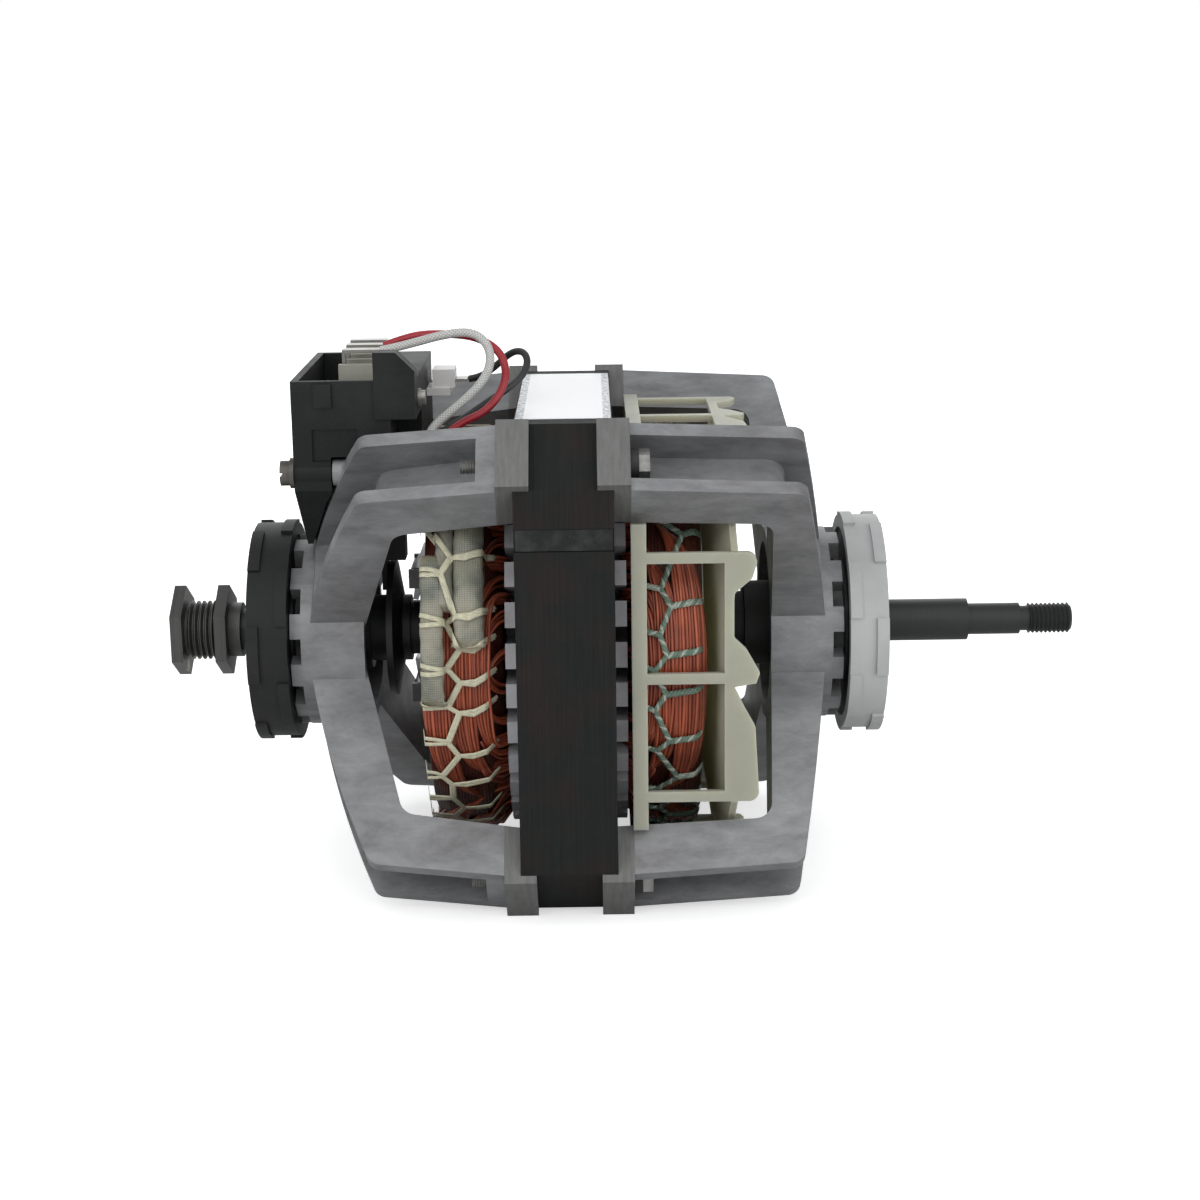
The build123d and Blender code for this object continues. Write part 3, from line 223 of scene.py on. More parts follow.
# Handling marks: broad blotches of dust and finger grease, and a fine grain in the surface.
marks, marks_in, marks_out = shader_group(
    "handling_marks",
    [("Place", "NodeSocketVector", (0, 0, 0)), ("Color", "NodeSocketColor", (0.5, 0.5, 0.5, 1)),
     ("Dust Color", "NodeSocketColor", (0.5, 0.5, 0.5, 1)), ("Dust", "NodeSocketFloat", 0.2),
     ("Blotch Scale", "NodeSocketFloat", 40), ("Grain Scale", "NodeSocketFloat", 1500),
     ("Roughness", "NodeSocketFloat", 0.5), ("Grain Height", "NodeSocketFloat", 0.1)],
    [("Color", "NodeSocketColor"), ("Roughness", "NodeSocketFloat"),
     ("Normal", "NodeSocketVector")])
blotch = add(marks, "ShaderNodeTexNoise", {"Vector": marks_in.outputs["Place"],
                                           "Scale": marks_in.outputs["Blotch Scale"],
                                           "Detail": 5.0, "Roughness": 0.6})
blotch_level = add(marks, "ShaderNodeMapRange", {"Value": blotch.outputs["Fac"], "From Min": 0.42,
                                                 "From Max": 0.68})
dusty = add(marks, "ShaderNodeMath", {0: blotch_level.outputs[0], 1: marks_in.outputs["Dust"]},
            operation="MULTIPLY")
marks.links.new(mix(marks, dusty.outputs[0], marks_in.outputs["Color"],
                    marks_in.outputs["Dust Color"]), marks_out.inputs["Color"])
rougher = add(marks, "ShaderNodeMath", {0: blotch_level.outputs[0], 1: 0.12,
                                        2: marks_in.outputs["Roughness"]},
              operation="MULTIPLY_ADD")
marks.links.new(rougher.outputs[0], marks_out.inputs["Roughness"])
grain = add(marks, "ShaderNodeTexNoise", {"Vector": marks_in.outputs["Place"],
                                          "Scale": marks_in.outputs["Grain Scale"],
                                          "Detail": 2.0})
marks.links.new(bump(marks, marks_in.outputs["Grain Height"], 0.0002, grain.outputs["Fac"]),
                marks_out.inputs["Normal"])


def marked_material(name, color, dust_color, dust=0.25, blotch_scale=40.0, grain_scale=1500.0,
                    roughness=0.5, grain_height=0.1, **values):
    """A material of one colour with handling marks on it."""
    material, tree, shader, where = new_material(name)
    group = place_group(tree, marks, {
        "Place": where.outputs["Object"], "Color": (*color, 1), "Dust Color": (*dust_color, 1),
        "Dust": dust, "Blotch Scale": blotch_scale, "Grain Scale": grain_scale,
        "Roughness": roughness, "Grain Height": grain_height})
    link_marks(tree, group, shader)
    set_shader(shader, **values)
    return material


def dress(names, material):
    """Gives CAD nodes their material."""
    for name in [names] if isinstance(names, str) else names:
        mesh = nodes[name].data
        mesh.materials.clear()
        mesh.materials.append(material)


white_route = [
    (-50.25, -14.25, 82.1), (-46.5, -14.3, 82.8), (-40.3, -15.2, 84.4), (-33.1, -16.4, 86.4),
    (-25.1, -18.6, 87.6), (-20.4, -21.0, 84.6), (-19.4, -22.8, 79.6), (-21.6, -24.6, 74.8),
    (-26.0, -26.2, 70.4), (-31.0, -27.6, 66.6), (-36.2, -30.6, 62.6), (-37.4, -35.0, 56.4),
    (-34.4, -40.0, 50.0), (-31.4, -45.2, 43.4),
]
red_route = [
    (-50.25, -2.75, 82.1), (-45.6, -3.2, 83.8), (-39.3, -4.6, 85.4), (-31.2, -7.4, 85.6),
    (-23.6, -10.4, 85.0), (-17.2, -13.6, 81.4), (-15.4, -16.8, 75.4), (-17.6, -19.8, 69.8),
    (-22.0, -22.4, 65.6), (-27.4, -24.4, 63.6), (-32.2, -28.4, 60.8), (-31.8, -33.6, 56.0),
    (-29.0, -38.6, 50.6), (-26.0, -43.6, 45.2),
]
black_route = [
    (-27.3, 9.0, 70.8), (-23.9, 8.2, 71.4), (-19.7, 5.6, 74.6), (-14.8, 1.4, 79.4),
    (-11.2, -2.6, 80.0), (-9.8, -6.2, 77.4), (-11.6, -9.6, 73.6), (-16.2, -12.8, 70.4),
    (-21.8, -15.6, 67.2), (-27.2, -18.4, 63.8), (-32.6, -21.0, 61.0), (-37.2, -22.6, 58.2),
]


def lead(name, route, diameter, material, node):
    """One insulated wire along its route, as a smooth curve."""
    data = bpy.data.curves.new(name, "CURVE")
    data.dimensions = "3D"
    data.bevel_depth = diameter / 2000
    data.bevel_resolution = 6
    data.resolution_u = 12
    data.use_fill_caps = True
    spline = data.splines.new("NURBS")
    spline.points.add(len(route) - 1)
    for point, place in zip(spline.points, route):
        point.co = (*at(*place), 1)
    spline.order_u = 3
    spline.use_endpoint_u = True
    piece = bpy.data.objects.new(name, data)
    scene.collection.objects.link(piece)
    data.materials.append(material)
    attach(piece, "stator")
    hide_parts(node)


braid, tree, shader, where = new_material("white_glass_braid")
braid_lines = add(tree, "ShaderNodeTexBrick", {"Vector": where.outputs["UV"], "Scale": 1.0,
                                               "Brick Width": 0.012, "Row Height": 0.07,
                                               "Mortar Size": 0.0022,
                                               "Color1": (0.64, 0.64, 0.615, 1),
                                               "Color2": (0.57, 0.57, 0.545, 1),
                                               "Mortar": (0.36, 0.36, 0.34, 1)})
tree.links.new(braid_lines.outputs["Color"], shader.inputs["Base Color"])
tree.links.new(bump(tree, 0.5, 0.0002, braid_lines.outputs["Fac"], invert=True),
               shader.inputs["Normal"])
set_shader(shader, roughness=0.75)
red_rubber = marked_material("red_silicone", (0.34, 0.012, 0.022), (0.5, 0.12, 0.13), dust=0.3,
                             blotch_scale=120.0, roughness=0.42)
black_rubber_lead = marked_material("black_silicone", (0.022, 0.023, 0.025), (0.09, 0.09, 0.09),
                                    dust=0.3, blotch_scale=120.0, roughness=0.45)
lead("white_lead", white_route, 2.4, braid, "lead_white")
lead("red_lead", red_route, 2.2, red_rubber, "lead_red")
lead("black_lead", black_route, 2.0, black_rubber_lead, "lead_black")

# End brackets. Two die castings in aluminium, dull grey with flow marks and stains; the corner
# blocks that clamp the stator are milled flat, so they are paler and carry cutter scratches.
cast, tree, shader, where = new_material("cast_aluminium")
coords = where.outputs["Object"]
cast_marks = place_group(tree, marks, {
    "Place": coords, "Color": (0.25, 0.256, 0.262, 1), "Dust Color": (0.16, 0.145, 0.145, 1),
    "Dust": 0.75, "Blotch Scale": 28.0, "Grain Scale": 900.0, "Roughness": 0.46,
    "Grain Height": 0.12})
drawn_out = add(tree, "ShaderNodeMapping", {"Vector": coords, "Scale": (55, 120, 120)})
flow = add(tree, "ShaderNodeTexNoise", {"Vector": drawn_out.outputs[0], "Scale": 1.0,
                                        "Detail": 8.0, "Roughness": 0.72, "Distortion": 0.25})
flow_shade = ramp_between(tree, flow.outputs["Fac"], (0.1, 0.1, 0.104), (0.43, 0.436, 0.446))
flow_color = mix(tree, 0.5, cast_marks.outputs["Color"], flow_shade)
split = add(tree, "ShaderNodeSeparateXYZ", {0: coords})
from_middle = add(tree, "ShaderNodeMath", {0: split.outputs["X"], 1: middle_x},
                  operation="SUBTRACT")
distance = add(tree, "ShaderNodeMath", {0: from_middle.outputs[0]}, operation="ABSOLUTE")
cast_from, milled_to = 0.0176, 0.0174    # metres from the stator's middle
milled = add(tree, "ShaderNodeMapRange", {"Value": distance.outputs[0], "From Min": cast_from,
                                          "From Max": milled_to})
streaks_place = add(tree, "ShaderNodeMapping", {"Vector": coords, "Scale": (700, 90, 90)})
streaks = add(tree, "ShaderNodeTexNoise", {"Vector": streaks_place.outputs[0], "Scale": 1.0,
                                           "Detail": 4.0, "Roughness": 0.7})
milled_color = ramp_between(tree, streaks.outputs["Fac"], (0.13, 0.13, 0.126),
                            (0.2, 0.199, 0.193), 0.3, 0.72)
tree.links.new(mix(tree, milled.outputs[0], flow_color, milled_color),
               shader.inputs["Base Color"])
tree.links.new(cast_marks.outputs["Roughness"], shader.inputs["Roughness"])
tree.links.new(bump(tree, 0.25, 0.0004, flow.outputs["Fac"], cast_marks.outputs["Normal"]),
               shader.inputs["Normal"])
set_shader(shader, metallic=0.45)
dress(["belt_end_bracket", "blower_end_bracket"], cast)

# Stator stack. Thin steel laminations, blackened, pressed together and held by a strip welded
# into a groove in each side. The sheets' edges show as fine lines across the stack.
sheet_pitch = 0.00065
lamination, tree, shader, where = new_material("black_laminations")
lines_place = add(tree, "ShaderNodeMapping", {"Vector": where.outputs["Object"],
                                              "Scale": (1 / sheet_pitch, 30, 30)})
line_noise = add(tree, "ShaderNodeTexNoise", {"Vector": lines_place.outputs[0], "Scale": 1.0,
                                              "Detail": 3.0, "Roughness": 0.6})
stack_marks = place_group(tree, marks, {
    "Place": where.outputs["Object"], "Color": (0.0135, 0.0165, 0.0155, 1),
    "Dust Color": (0.03, 0.0175, 0.0175, 1), "Dust": 0.8, "Blotch Scale": 60.0,
    "Grain Scale": 1600.0, "Roughness": 0.6, "Grain Height": 0.2})
line_shade = ramp_between(tree, line_noise.outputs["Fac"], (0.005, 0.006, 0.006),
                          (0.034, 0.036, 0.034))
tree.links.new(mix(tree, 0.18, stack_marks.outputs["Color"], line_shade),
               shader.inputs["Base Color"])
tree.links.new(stack_marks.outputs["Roughness"], shader.inputs["Roughness"])
tree.links.new(bump(tree, 0.35, 0.0002, line_noise.outputs["Fac"],
                    stack_marks.outputs["Normal"]), shader.inputs["Normal"])
set_shader(shader, specular=0.1)
dress("stator_core", lamination)
dress("stator_cleats", marked_material("weld_strip", (0.012, 0.013, 0.013), (0.05, 0.052, 0.052),
                                       dust=0.6, blotch_scale=220.0, grain_scale=420.0,
                                       roughness=0.28, grain_height=0.9, metallic=0.3))

# Slot liners. Grey polyester film folded into each slot, its cuffs standing out of both ends.
dress("slot_liners", marked_material(
    "slot_film", (0.42, 0.42, 0.44), (0.26, 0.24, 0.25), dust=0.6, blotch_scale=120.0,
    grain_scale=700.0, roughness=0.35, grain_height=0.05, coat=0.3, coat_roughness=0.25))

# Windings. Enamelled copper wire in concentric coils, four poles, each coil rising out of its
# slots, running round the end of the stator and going back down. The outer layers are single
# wires; the copper packed under them is turned as one body with its strands as ridges.
wire_diameter = 0.86
winding_surface = 57.6       # radius of the outermost wires' outside
packed_copper_r = 55.2
slot_count = 32
wires_in_slot = 6
layer_step = 0.8             # from one layer of wires down to the next
wire_steps = 36              # points along half a turn
poles = (0, 90, 180, 270)


def select_only(piece):
    bpy.ops.object.select_all(action="DESELECT")
    bpy.context.view_layer.objects.active = piece
    piece.select_set(True)


def edit_all(*steps):
    """Runs operators in edit mode, each as (operator, its settings), on all of the mesh."""
    bpy.ops.object.mode_set(mode="EDIT")
    bpy.ops.mesh.select_all(action="SELECT")
    for operator, settings in steps:
        operator(**settings)
    bpy.ops.object.mode_set(mode="OBJECT")


def wire_shade(name, dark, light, dust, coat):
    """Copper seen through red-brown enamel, each strand a little different."""
    material, tree, shader, where = new_material(name)
    strand = add(tree, "ShaderNodeAttribute", attribute_name="strand")
    color = ramp_between(tree, strand.outputs["Fac"], dark, light, 0.0, 1.0)
    grime = place_group(tree, marks, {
        "Place": where.outputs["Object"], "Color": color, "Dust Color": (*dust, 1),
        "Dust": 0.65, "Blotch Scale": 70.0, "Grain Scale": 900.0, "Roughness": 0.34,
        "Grain Height": 0.05})
    link_marks(tree, grime, shader)
    set_shader(shader, metallic=0.15, coat=coat, coat_roughness=0.3)
    return material


enamel = wire_shade("enamelled_copper", (0.2, 0.034, 0.015), (0.5, 0.114, 0.048),
                    (0.1, 0.022, 0.013), 0.25)
# The copper packed under the outer wires is the same enamelled copper, painted several times
# darker: painted shade for the shadow among and under the wires.
copper_in_painted_shade = wire_shade("shaded_copper", (0.05, 0.01, 0.006), (0.11, 0.026, 0.015),
                         (0.04, 0.012, 0.009), 0.1)


def unit_noise(*seeds):
    """A repeatable number from 0 to 1 for a set of counts."""
    total = sum(s * w for s, w in zip(seeds, (12.9898, 78.233, 37.719, 94.673)))
    return (math.sin(total) * 43758.5453) % 1


def round_strands(name, paths, radius, resolution):
    """Round strands drawn as one curve and made a mesh, each with its own strand value."""
    data = bpy.data.curves.new(name, "CURVE")
    data.dimensions = "3D"
    data.bevel_depth = radius
    data.bevel_resolution = resolution
    for path in paths:
        spline = data.splines.new("POLY")
        spline.points.add(len(path) - 1)
        for point, place in zip(spline.points, path):
            point.co = (*place, 1)
    piece = bpy.data.objects.new(name, data)
    scene.collection.objects.link(piece)
    select_only(piece)
    bpy.ops.object.convert(target="MESH")
    piece = bpy.context.object
    mesh = piece.data
    sides = len(mesh.vertices) // sum(len(path) for path in paths)
    shades, lengths = [], []
    for n, path in enumerate(paths):
        shades += [unit_noise(n, 3.0)] * (len(path) * sides)
        run = sum((b - a).length for a, b in zip(path, path[1:])) * 1000
        lengths += [run] * (len(path) * sides)
    value = mesh.attributes.new("strand", "FLOAT", "POINT")
    value.data.foreach_set("value", shades)
    threads = mesh.uv_layers[0]
    for loop in mesh.loops:
        threads.data[loop.index].uv.x *= lengths[loop.vertex_index]
    edit_all((bpy.ops.mesh.fill_holes, {"sides": 0}),
             (bpy.ops.mesh.normals_make_consistent, {"inside": False}))
    mesh.shade_smooth()
    return piece


def coil_path(side, pole, half_angle, x_in, x_out, r_in, r_out, steps, seed):
    """One wire's points: out of a slot, round the stator's end and into another slot."""
    points = []
    for i in range(steps + 1):
        t = math.pi * (i / steps - 0.5)
        along = math.copysign(abs(math.sin(t)) ** 0.72, t)
        rise = abs(math.cos(t)) ** 0.5
        wave = 0.14 * math.sin(along * 7 + seed * 6.28) + 0.5 * (seed - 0.5) * along
        angle = math.radians(pole + half_angle * along)
        x = x_in + (x_out - x_in) * rise + wave * rise
        r = r_in + (r_out - r_in) * min(1.0, rise * 1.2)
        points.append(at(side * x, r * math.cos(angle), r * math.sin(angle)))
    return points


coils = [  # half-angle, distance of the nearest wire from the stack's middle, step, wires across
    (45.0, 30.6, 0.92, 9), (33.5, 24.8, 0.92, 7), (22.5, 20.6, 0.92, 5),
]


def slot_wires(side):
    """Short lengths that rise out of every slot and lean over into the coils."""
    paths = []
    for slot in range(slot_count):
        base = (slot + 0.5) * 360 / slot_count
        pole = round(base / 90) * 90
        lean = math.copysign(1.0, pole - base)
        for n in range(wires_in_slot):
            seed = unit_noise(slot, n, side)
            start = base + (unit_noise(slot, n, 9.0) - 0.5) * 3.4
            points = []
            for i in range(9):
                t = i / 8
                r = 47.5 + 4 * seed + (9.2 - 4.4 * seed) * math.sin(t * math.pi / 2) ** 1.3
                angle = math.radians(start + lean * (9 + 5 * seed) * t ** 2.2)
                points.append(at(side * (15.0 + 8.4 * t ** 0.9), r * math.cos(angle),
                                 r * math.sin(angle)))
            paths.append(points)
    return paths


def wires_round(side, reach):
    """Every wire on one side of the stator: the coils' two layers, then the slots' short ends."""
    paths = []
    count = 0
    for pole in poles:
        for half_angle, x_low, step, across in coils:
            for layer in range(2):
                for n in range(across):
                    count += 1
                    seed = unit_noise(count, side)
                    x_out = (x_low + n * step + layer * 0.5) * reach
                    r_out = winding_surface - wire_diameter / 2 - layer * layer_step
                    r_out -= 0.5 * seed * (1 - layer) + max(0.0, x_out - 36 * reach) * 0.8
                    paths.append(coil_path(side, pole, half_angle - n * 0.5 + seed * 1.5, 15.0,
                                           x_out, 49.0 + 3 * seed, r_out, wire_steps, seed))
    return paths + slot_wires(side)


def ridged_profile(side, reach):
    """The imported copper's outline with half-round ridges, a strand each."""
    near, far = 16.8, 13.0 + reach
    points = []
    corners = [(near, 39.0), (near + 0.6, 47.5), (near + 4.4, packed_copper_r - 0.6),
               (near + 6, packed_copper_r), (far - 3.6, packed_copper_r),
               (far - 0.9, packed_copper_r - 2.2), (far, 52.0), (far, 42.0), (far - 2, 39.0)]
    for (x0, r0), (x1, r1) in zip(corners, corners[1:]):
        length = math.hypot(x1 - x0, r1 - r0)
        count = max(1, round(length / wire_diameter))
        ux, ur = (x1 - x0) / length, (r1 - r0) / length
        for n in range(count):
            for part in (0.0, 0.25, 0.5, 0.75):
                run = (n + part) / count * length
                bulge = math.sin(part * math.pi) * wire_diameter * 0.4
                points.append((side * (x0 + ux * run - ur * bulge),
                               r0 + ur * run + ux * bulge))
    points.append((side * corners[-1][0], corners[-1][1]))
    return points


def spun_ring(name, profile, steps):
    """A closed outline drawn beside the shaft and spun round it."""
    data = bpy.data.curves.new(name, "CURVE")
    data.dimensions = "3D"
    spline = data.splines.new("POLY")
    spline.points.add(len(profile) - 1)
    for point, (x, r) in zip(spline.points, profile):
        point.co = (*at(x, 0, r), 1)
    spline.use_cyclic_u = True
    piece = bpy.data.objects.new(name, data)
    scene.collection.objects.link(piece)
    select_only(piece)
    bpy.ops.object.convert(target="MESH")
    piece = bpy.context.object
    bpy.ops.object.mode_set(mode="EDIT")
    bpy.ops.mesh.select_all(action="SELECT")
    bpy.ops.mesh.spin(steps=steps, angle=2 * math.pi, center=(0, 0, 0), axis=(1, 0, 0))
    bpy.ops.mesh.select_all(action="SELECT")
    bpy.ops.mesh.remove_doubles(threshold=1e-6)
    bpy.ops.mesh.normals_make_consistent(inside=False)
    bpy.ops.object.mode_set(mode="OBJECT")
    return piece


for side, label, reach, spread in ((-1, "belt_end", 24.4, 1.0), (1, "blower_end", 23.2, 0.96)):
    wires = round_strands(f"{label}_wires", wires_round(side, spread), wire_diameter / 2000, 1)
    wires.data.materials.append(enamel)
    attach(wires, "stator")
    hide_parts(f"winding_turns_{label}")
    core = spun_ring(f"packed_copper_{label}", ridged_profile(side, reach), 96)
    core.data.shade_smooth()
    # The packed copper gets the darker copper, which is painted shade.
    core.data.materials.append(copper_in_painted_shade)
    value = core.data.attributes.new("strand", "FLOAT", "POINT")
    value.data.foreach_set("value", [unit_noise(v.index // 8, 5.0) for v in core.data.vertices])
    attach(core, "stator")
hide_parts("stator_winding")

# Lacing. The belt end is tied with flat cream tape and the other end with a green and white
# twisted cord, both in a net that is drawn down between the coils and the stack. The joints
# that face the front have their own places; the rest are spread evenly.
sleeve_seat = 58.0
sleeve_places = [  # x, first and last angle from the rear over the top, height and width factors
    (-35.3, 148.5, 186, 2.5, 1.2), (-31.9, 140, 162, 2.3, 1.0), (-25.6, 138, 171, 2.7, 1.48),
]


def clamp(value):
    return max(0.0, min(1.0, value))


def laid_height(x, angle, inner_edge, outer_edge):
    """The radius of the surface that the lacing lies on."""
    reach = abs(x)
    height = winding_surface - 1.1 * max(0.0, inner_edge - reach)
    height -= 0.45 * max(0.0, reach - outer_edge) ** 2
    for sleeve_x, first, last, radius, width in sleeve_places:
        across = (x - sleeve_x) / (radius * width + 0.3)
        if abs(across) < 1:
            here = clamp((angle % 360 - first + 1.5) / 2) * clamp((last + 1.5 - angle % 360) / 2)
            top = radius * (0.95 + 0.9 * math.sqrt(1 - across * across)) + 0.2
            height = max(height, winding_surface + here * (sleeve_seat + top - winding_surface))
    return height


def net_joints(shown_outer, shown_inner, total, outer_x, inner_x):
    """Both rows of the net's joints, all round, as (x, angle)."""
    outer = list(shown_outer)
    rest = total - len(outer)
    step = (outer[0][1] + 360 - outer[-1][1]) / (rest + 1)
    last = outer[-1][1]
    for k in range(1, rest + 1):
        outer.append((outer_x + unit_noise(k, 1.0) - 0.5,
                      last + step * k + unit_noise(k, 2.0) * 1.5 - 0.75))
    inner = list(shown_inner)
    for k in range(len(inner), total):
        after = outer[k + 1][1] if k + 1 < total else outer[0][1] + 360
        inner.append((inner_x + unit_noise(k, 4.0) - 0.5, (outer[k][1] + after) / 2))
    return outer, inner


def stepped(path, step):
    """Points a step apart along a path of (x, angle) corners, as (x, run round, 0) in mm."""
    corners = [Vector((x, math.radians(a) * winding_surface, 0)) for x, a in path]
    points = []
    for a, b in zip(corners, corners[1:]):
        count = max(2, round((b - a).length / step))
        points += [a.lerp(b, i / count) for i in range(count)]
    return points + [corners[-1]]


def twisted(line, offset, pitch, phase):
    """A strand that winds round a line."""
    points, run = [], 0.0
    for i, p in enumerate(line):
        ahead = (line[min(i + 1, len(line) - 1)] - line[max(i - 1, 0)]).normalized()
        if i:
            run += (p - line[i - 1]).length
        turn = 2 * math.pi * run / pitch + phase
        beside = Vector((-ahead.y, ahead.x, 0))
        points.append(p + beside * offset * math.cos(turn)
                      + Vector((0, 0, offset)) * math.sin(turn))
    return points


def lay_net(name, lines, radius, flatness, lift, edges, material):
    """Strands drawn flat, then bent round the winding so that they lie on its surface."""
    net = round_strands(name, [[p / 1000 for p in line] for line in lines], radius / 1000, 2)
    for v in net.data.vertices:
        x, run, high = v.co * 1000
        angle = run / winding_surface
        r = laid_height(x, math.degrees(angle), *edges) + lift + high * flatness
        v.co = at(x, r * math.cos(angle), r * math.sin(angle))
    select_only(net)
    edit_all((bpy.ops.mesh.normals_make_consistent, {"inside": False}))
    net.data.materials.append(material)
    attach(net, "stator")
    return net


tape, tree, shader, where = new_material("cream_lacing_tape")
fibre_place = add(tree, "ShaderNodeMapping", {"Vector": where.outputs["UV"],
                                              "Scale": (0.35, 9, 1)})
fibres = add(tree, "ShaderNodeTexNoise", {"Vector": fibre_place.outputs[0], "Scale": 2.2,
                                          "Detail": 3.0, "Roughness": 0.6})
tree.links.new(ramp_between(tree, fibres.outputs["Fac"], (0.36, 0.34, 0.23), (0.66, 0.63, 0.47),
                            0.32, 0.62), shader.inputs["Base Color"])
tree.links.new(bump(tree, 0.4, 0.0002, fibres.outputs["Fac"]), shader.inputs["Normal"])
set_shader(shader, roughness=0.6)
tape_joints, tape_step = 33, 0.6
tape_turn_x, tape_end_x = -36.0, -38.9    # where the outer ties bend over and where they end
outer, inner = net_joints(
    [(-37.3, 139.5), (-33.0, 153.0), (-32.0, 165.0), (-32.0, 177.0), (-32.0, 187.5),
     (-32.4, 198.5), (-34.6, 210.5)],
    [(-30.3, 149.0), (-29.4, 163.5), (-28.4, 172.0), (-28.5, 181.0), (-29.0, 189.5),
     (-29.6, 203.0), (-32.0, 214.0)], tape_joints, -32.4, -29.4)
zigzag, arms = [], []
for k, (far, near) in enumerate(zip(outer, inner)):
    zigzag += [far, near]
    bend = unit_noise(k, 7.0)
    for tie in (
        [(far[0] + 0.2, far[1] - 0.35), (tape_turn_x, far[1] - 0.9 - bend * 0.6),
         (tape_end_x, far[1] - 1.2 - bend)],
        [(far[0] + 0.2, far[1] + 0.3), (tape_turn_x, far[1] + 0.5),
         (tape_end_x, far[1] + 0.8 * bend)],
        [near, (near[0] + 4.4, near[1] - 0.2 - bend * 0.5), (-21.0, near[1] - 1.6 - bend),
         (-18.6, near[1] - 2.6 - bend)],
        [near, (near[0] + 4.0, near[1] + 0.6), (-21.2, near[1] - 0.9 - bend),
         (-18.9, near[1] - 2.0 - bend)],
    ):
        arms.append(stepped(tie, tape_step))
zigzag.append((outer[0][0], outer[0][1] + 360))
doubled = [(x + 0.55, a + 0.2) for x, a in zigzag]
bands = [stepped(zigzag, tape_step), stepped(doubled, tape_step), *arms]
net = lay_net("cream_lacing", bands, 0.62, 0.5, 0.3, (21.6, 35.8), tape)
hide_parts("lacing_belt_end")

cord_shade, tree, shader, where = new_material("green_twisted_cord")
strand = add(tree, "ShaderNodeAttribute", attribute_name="strand")
fibre_place = add(tree, "ShaderNodeMapping", {"Vector": where.outputs["UV"],
                                              "Scale": (0.8, 8, 1)})
fibres = add(tree, "ShaderNodeTexNoise", {"Vector": fibre_place.outputs[0], "Scale": 2.0,
                                          "Detail": 3.0, "Roughness": 0.65})
green_shade = ramp_between(tree, fibres.outputs["Fac"], (0.04, 0.085, 0.06), (0.2, 0.27, 0.21),
                           0.35, 0.62)
white_shade = ramp_between(tree, fibres.outputs["Fac"], (0.18, 0.23, 0.18), (0.5, 0.53, 0.46),
                           0.35, 0.62)
is_white = ramp_between(tree, strand.outputs["Fac"], (0, 0, 0), (1, 1, 1), 0.45, 0.55)
tree.links.new(mix(tree, is_white, green_shade, white_shade), shader.inputs["Base Color"])
tree.links.new(bump(tree, 0.6, 0.0003, fibres.outputs["Fac"]), shader.inputs["Normal"])
set_shader(shader, roughness=0.7)
cord_joints, cord_step = 32, 0.5
cord_outer_end, cord_inner_end = 36.4, 20.4
twist_pitch = 3.4
outer, inner = net_joints(
    [(31.2, 142.0), (27.8, 161.5), (26.7, 174.5), (26.3, 185.0), (27.4, 199.0), (29.7, 212.0)],
    [(25.2, 157.0), (24.8, 169.0), (23.4, 178.5), (23.4, 189.5), (23.9, 202.0)],
    cord_joints, 28.0, 24.2)
cords, zigzag = [], []
for k, (far, near) in enumerate(zip(outer, inner)):
    zigzag += [far, near]
    cords.append((stepped([far, (cord_outer_end, far[1] - 1.4)], cord_step), 0.55))
    cords.append((stepped([near, (cord_inner_end, near[1] - 1.2)], cord_step), 0.42))
zigzag.append((outer[0][0], outer[0][1] + 360))
cords.append((stepped(zigzag, cord_step), 0.4))
lines = [twisted(line, offset, twist_pitch, phase) for line, offset in cords
         for phase in (0, 2 * math.pi / 3, 4 * math.pi / 3)]
net = lay_net("green_lacing", lines, 0.45, 0.75, 0.5, (20.6, 33.6), cord_shade)
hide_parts("lacing_blower_end")


# Lead sleeves. Woven glass tubes slipped over the joints between leads and windings, laid side
# by side on the coils and pressed flat by the lacing, their cut ends a little frayed.
sleeve_sides, sleeve_cuts = 28, 44
frayed_share = 0.06          # of the sleeve's length, at either end


def sleeve(x, first, last, radius, width):
    """One flattened tube bent over the coils, from the first angle to the last."""
    bpy.ops.object.select_all(action="DESELECT")
    bpy.ops.mesh.primitive_cylinder_add(vertices=sleeve_sides, radius=1, depth=2,
                                        end_fill_type="NOTHING")
    tube = bpy.context.object
    for e in tube.data.edges:
        low, high = (tube.data.vertices[i].co.z for i in e.vertices)
        e.select = abs(low - high) > 1
    bpy.ops.object.mode_set(mode="EDIT")
    bpy.ops.mesh.select_mode(type="EDGE")
    bpy.ops.mesh.subdivide(number_cuts=sleeve_cuts)
    bpy.ops.object.mode_set(mode="OBJECT")
    for v in tube.data.vertices:
        share = v.co.z / 2 + 0.5
        angle = math.radians(first + (last - first) * share)
        turn = math.atan2(v.co.y, v.co.x)
        crease = 1 + 0.04 * math.sin(share * 17 + 3 * turn + x)
        crease += 0.03 * math.sin(share * 41 - 2 * turn)
        end = max(0.0, frayed_share - min(share, 1 - share)) / frayed_share
        fray = end * 0.5 * unit_noise(v.index % sleeve_sides, x)
        wide = v.co.x * radius * width * crease * (1 + 0.06 * end)
        high = v.co.y * radius * 0.9 * crease * (1 - 0.35 * end)
        r = sleeve_seat + radius * 0.95 + high - end * 0.5
        angle += math.copysign(fray / winding_surface, share - 0.5)
        v.co = at(x + wide, r * math.cos(angle), r * math.sin(angle))
    wall = tube.modifiers.new("wall", "SOLIDIFY")
    wall.thickness = 0.0004
    wall.offset = -1
    bpy.ops.object.modifier_apply(modifier="wall")
    tube.data.shade_smooth()
    return tube


woven, tree, shader, where = new_material("woven_glass_sleeve")
threads_round, threads_along = 34, 62


def thread_bands(direction, count):
    return add(tree, "ShaderNodeTexWave", {"Vector": where.outputs["UV"],
                                           "Scale": count * 2 * math.pi / 20,
                                           "Distortion": 0.4, "Detail": 1.0,
                                           "Detail Scale": 3.0}, bands_direction=direction)


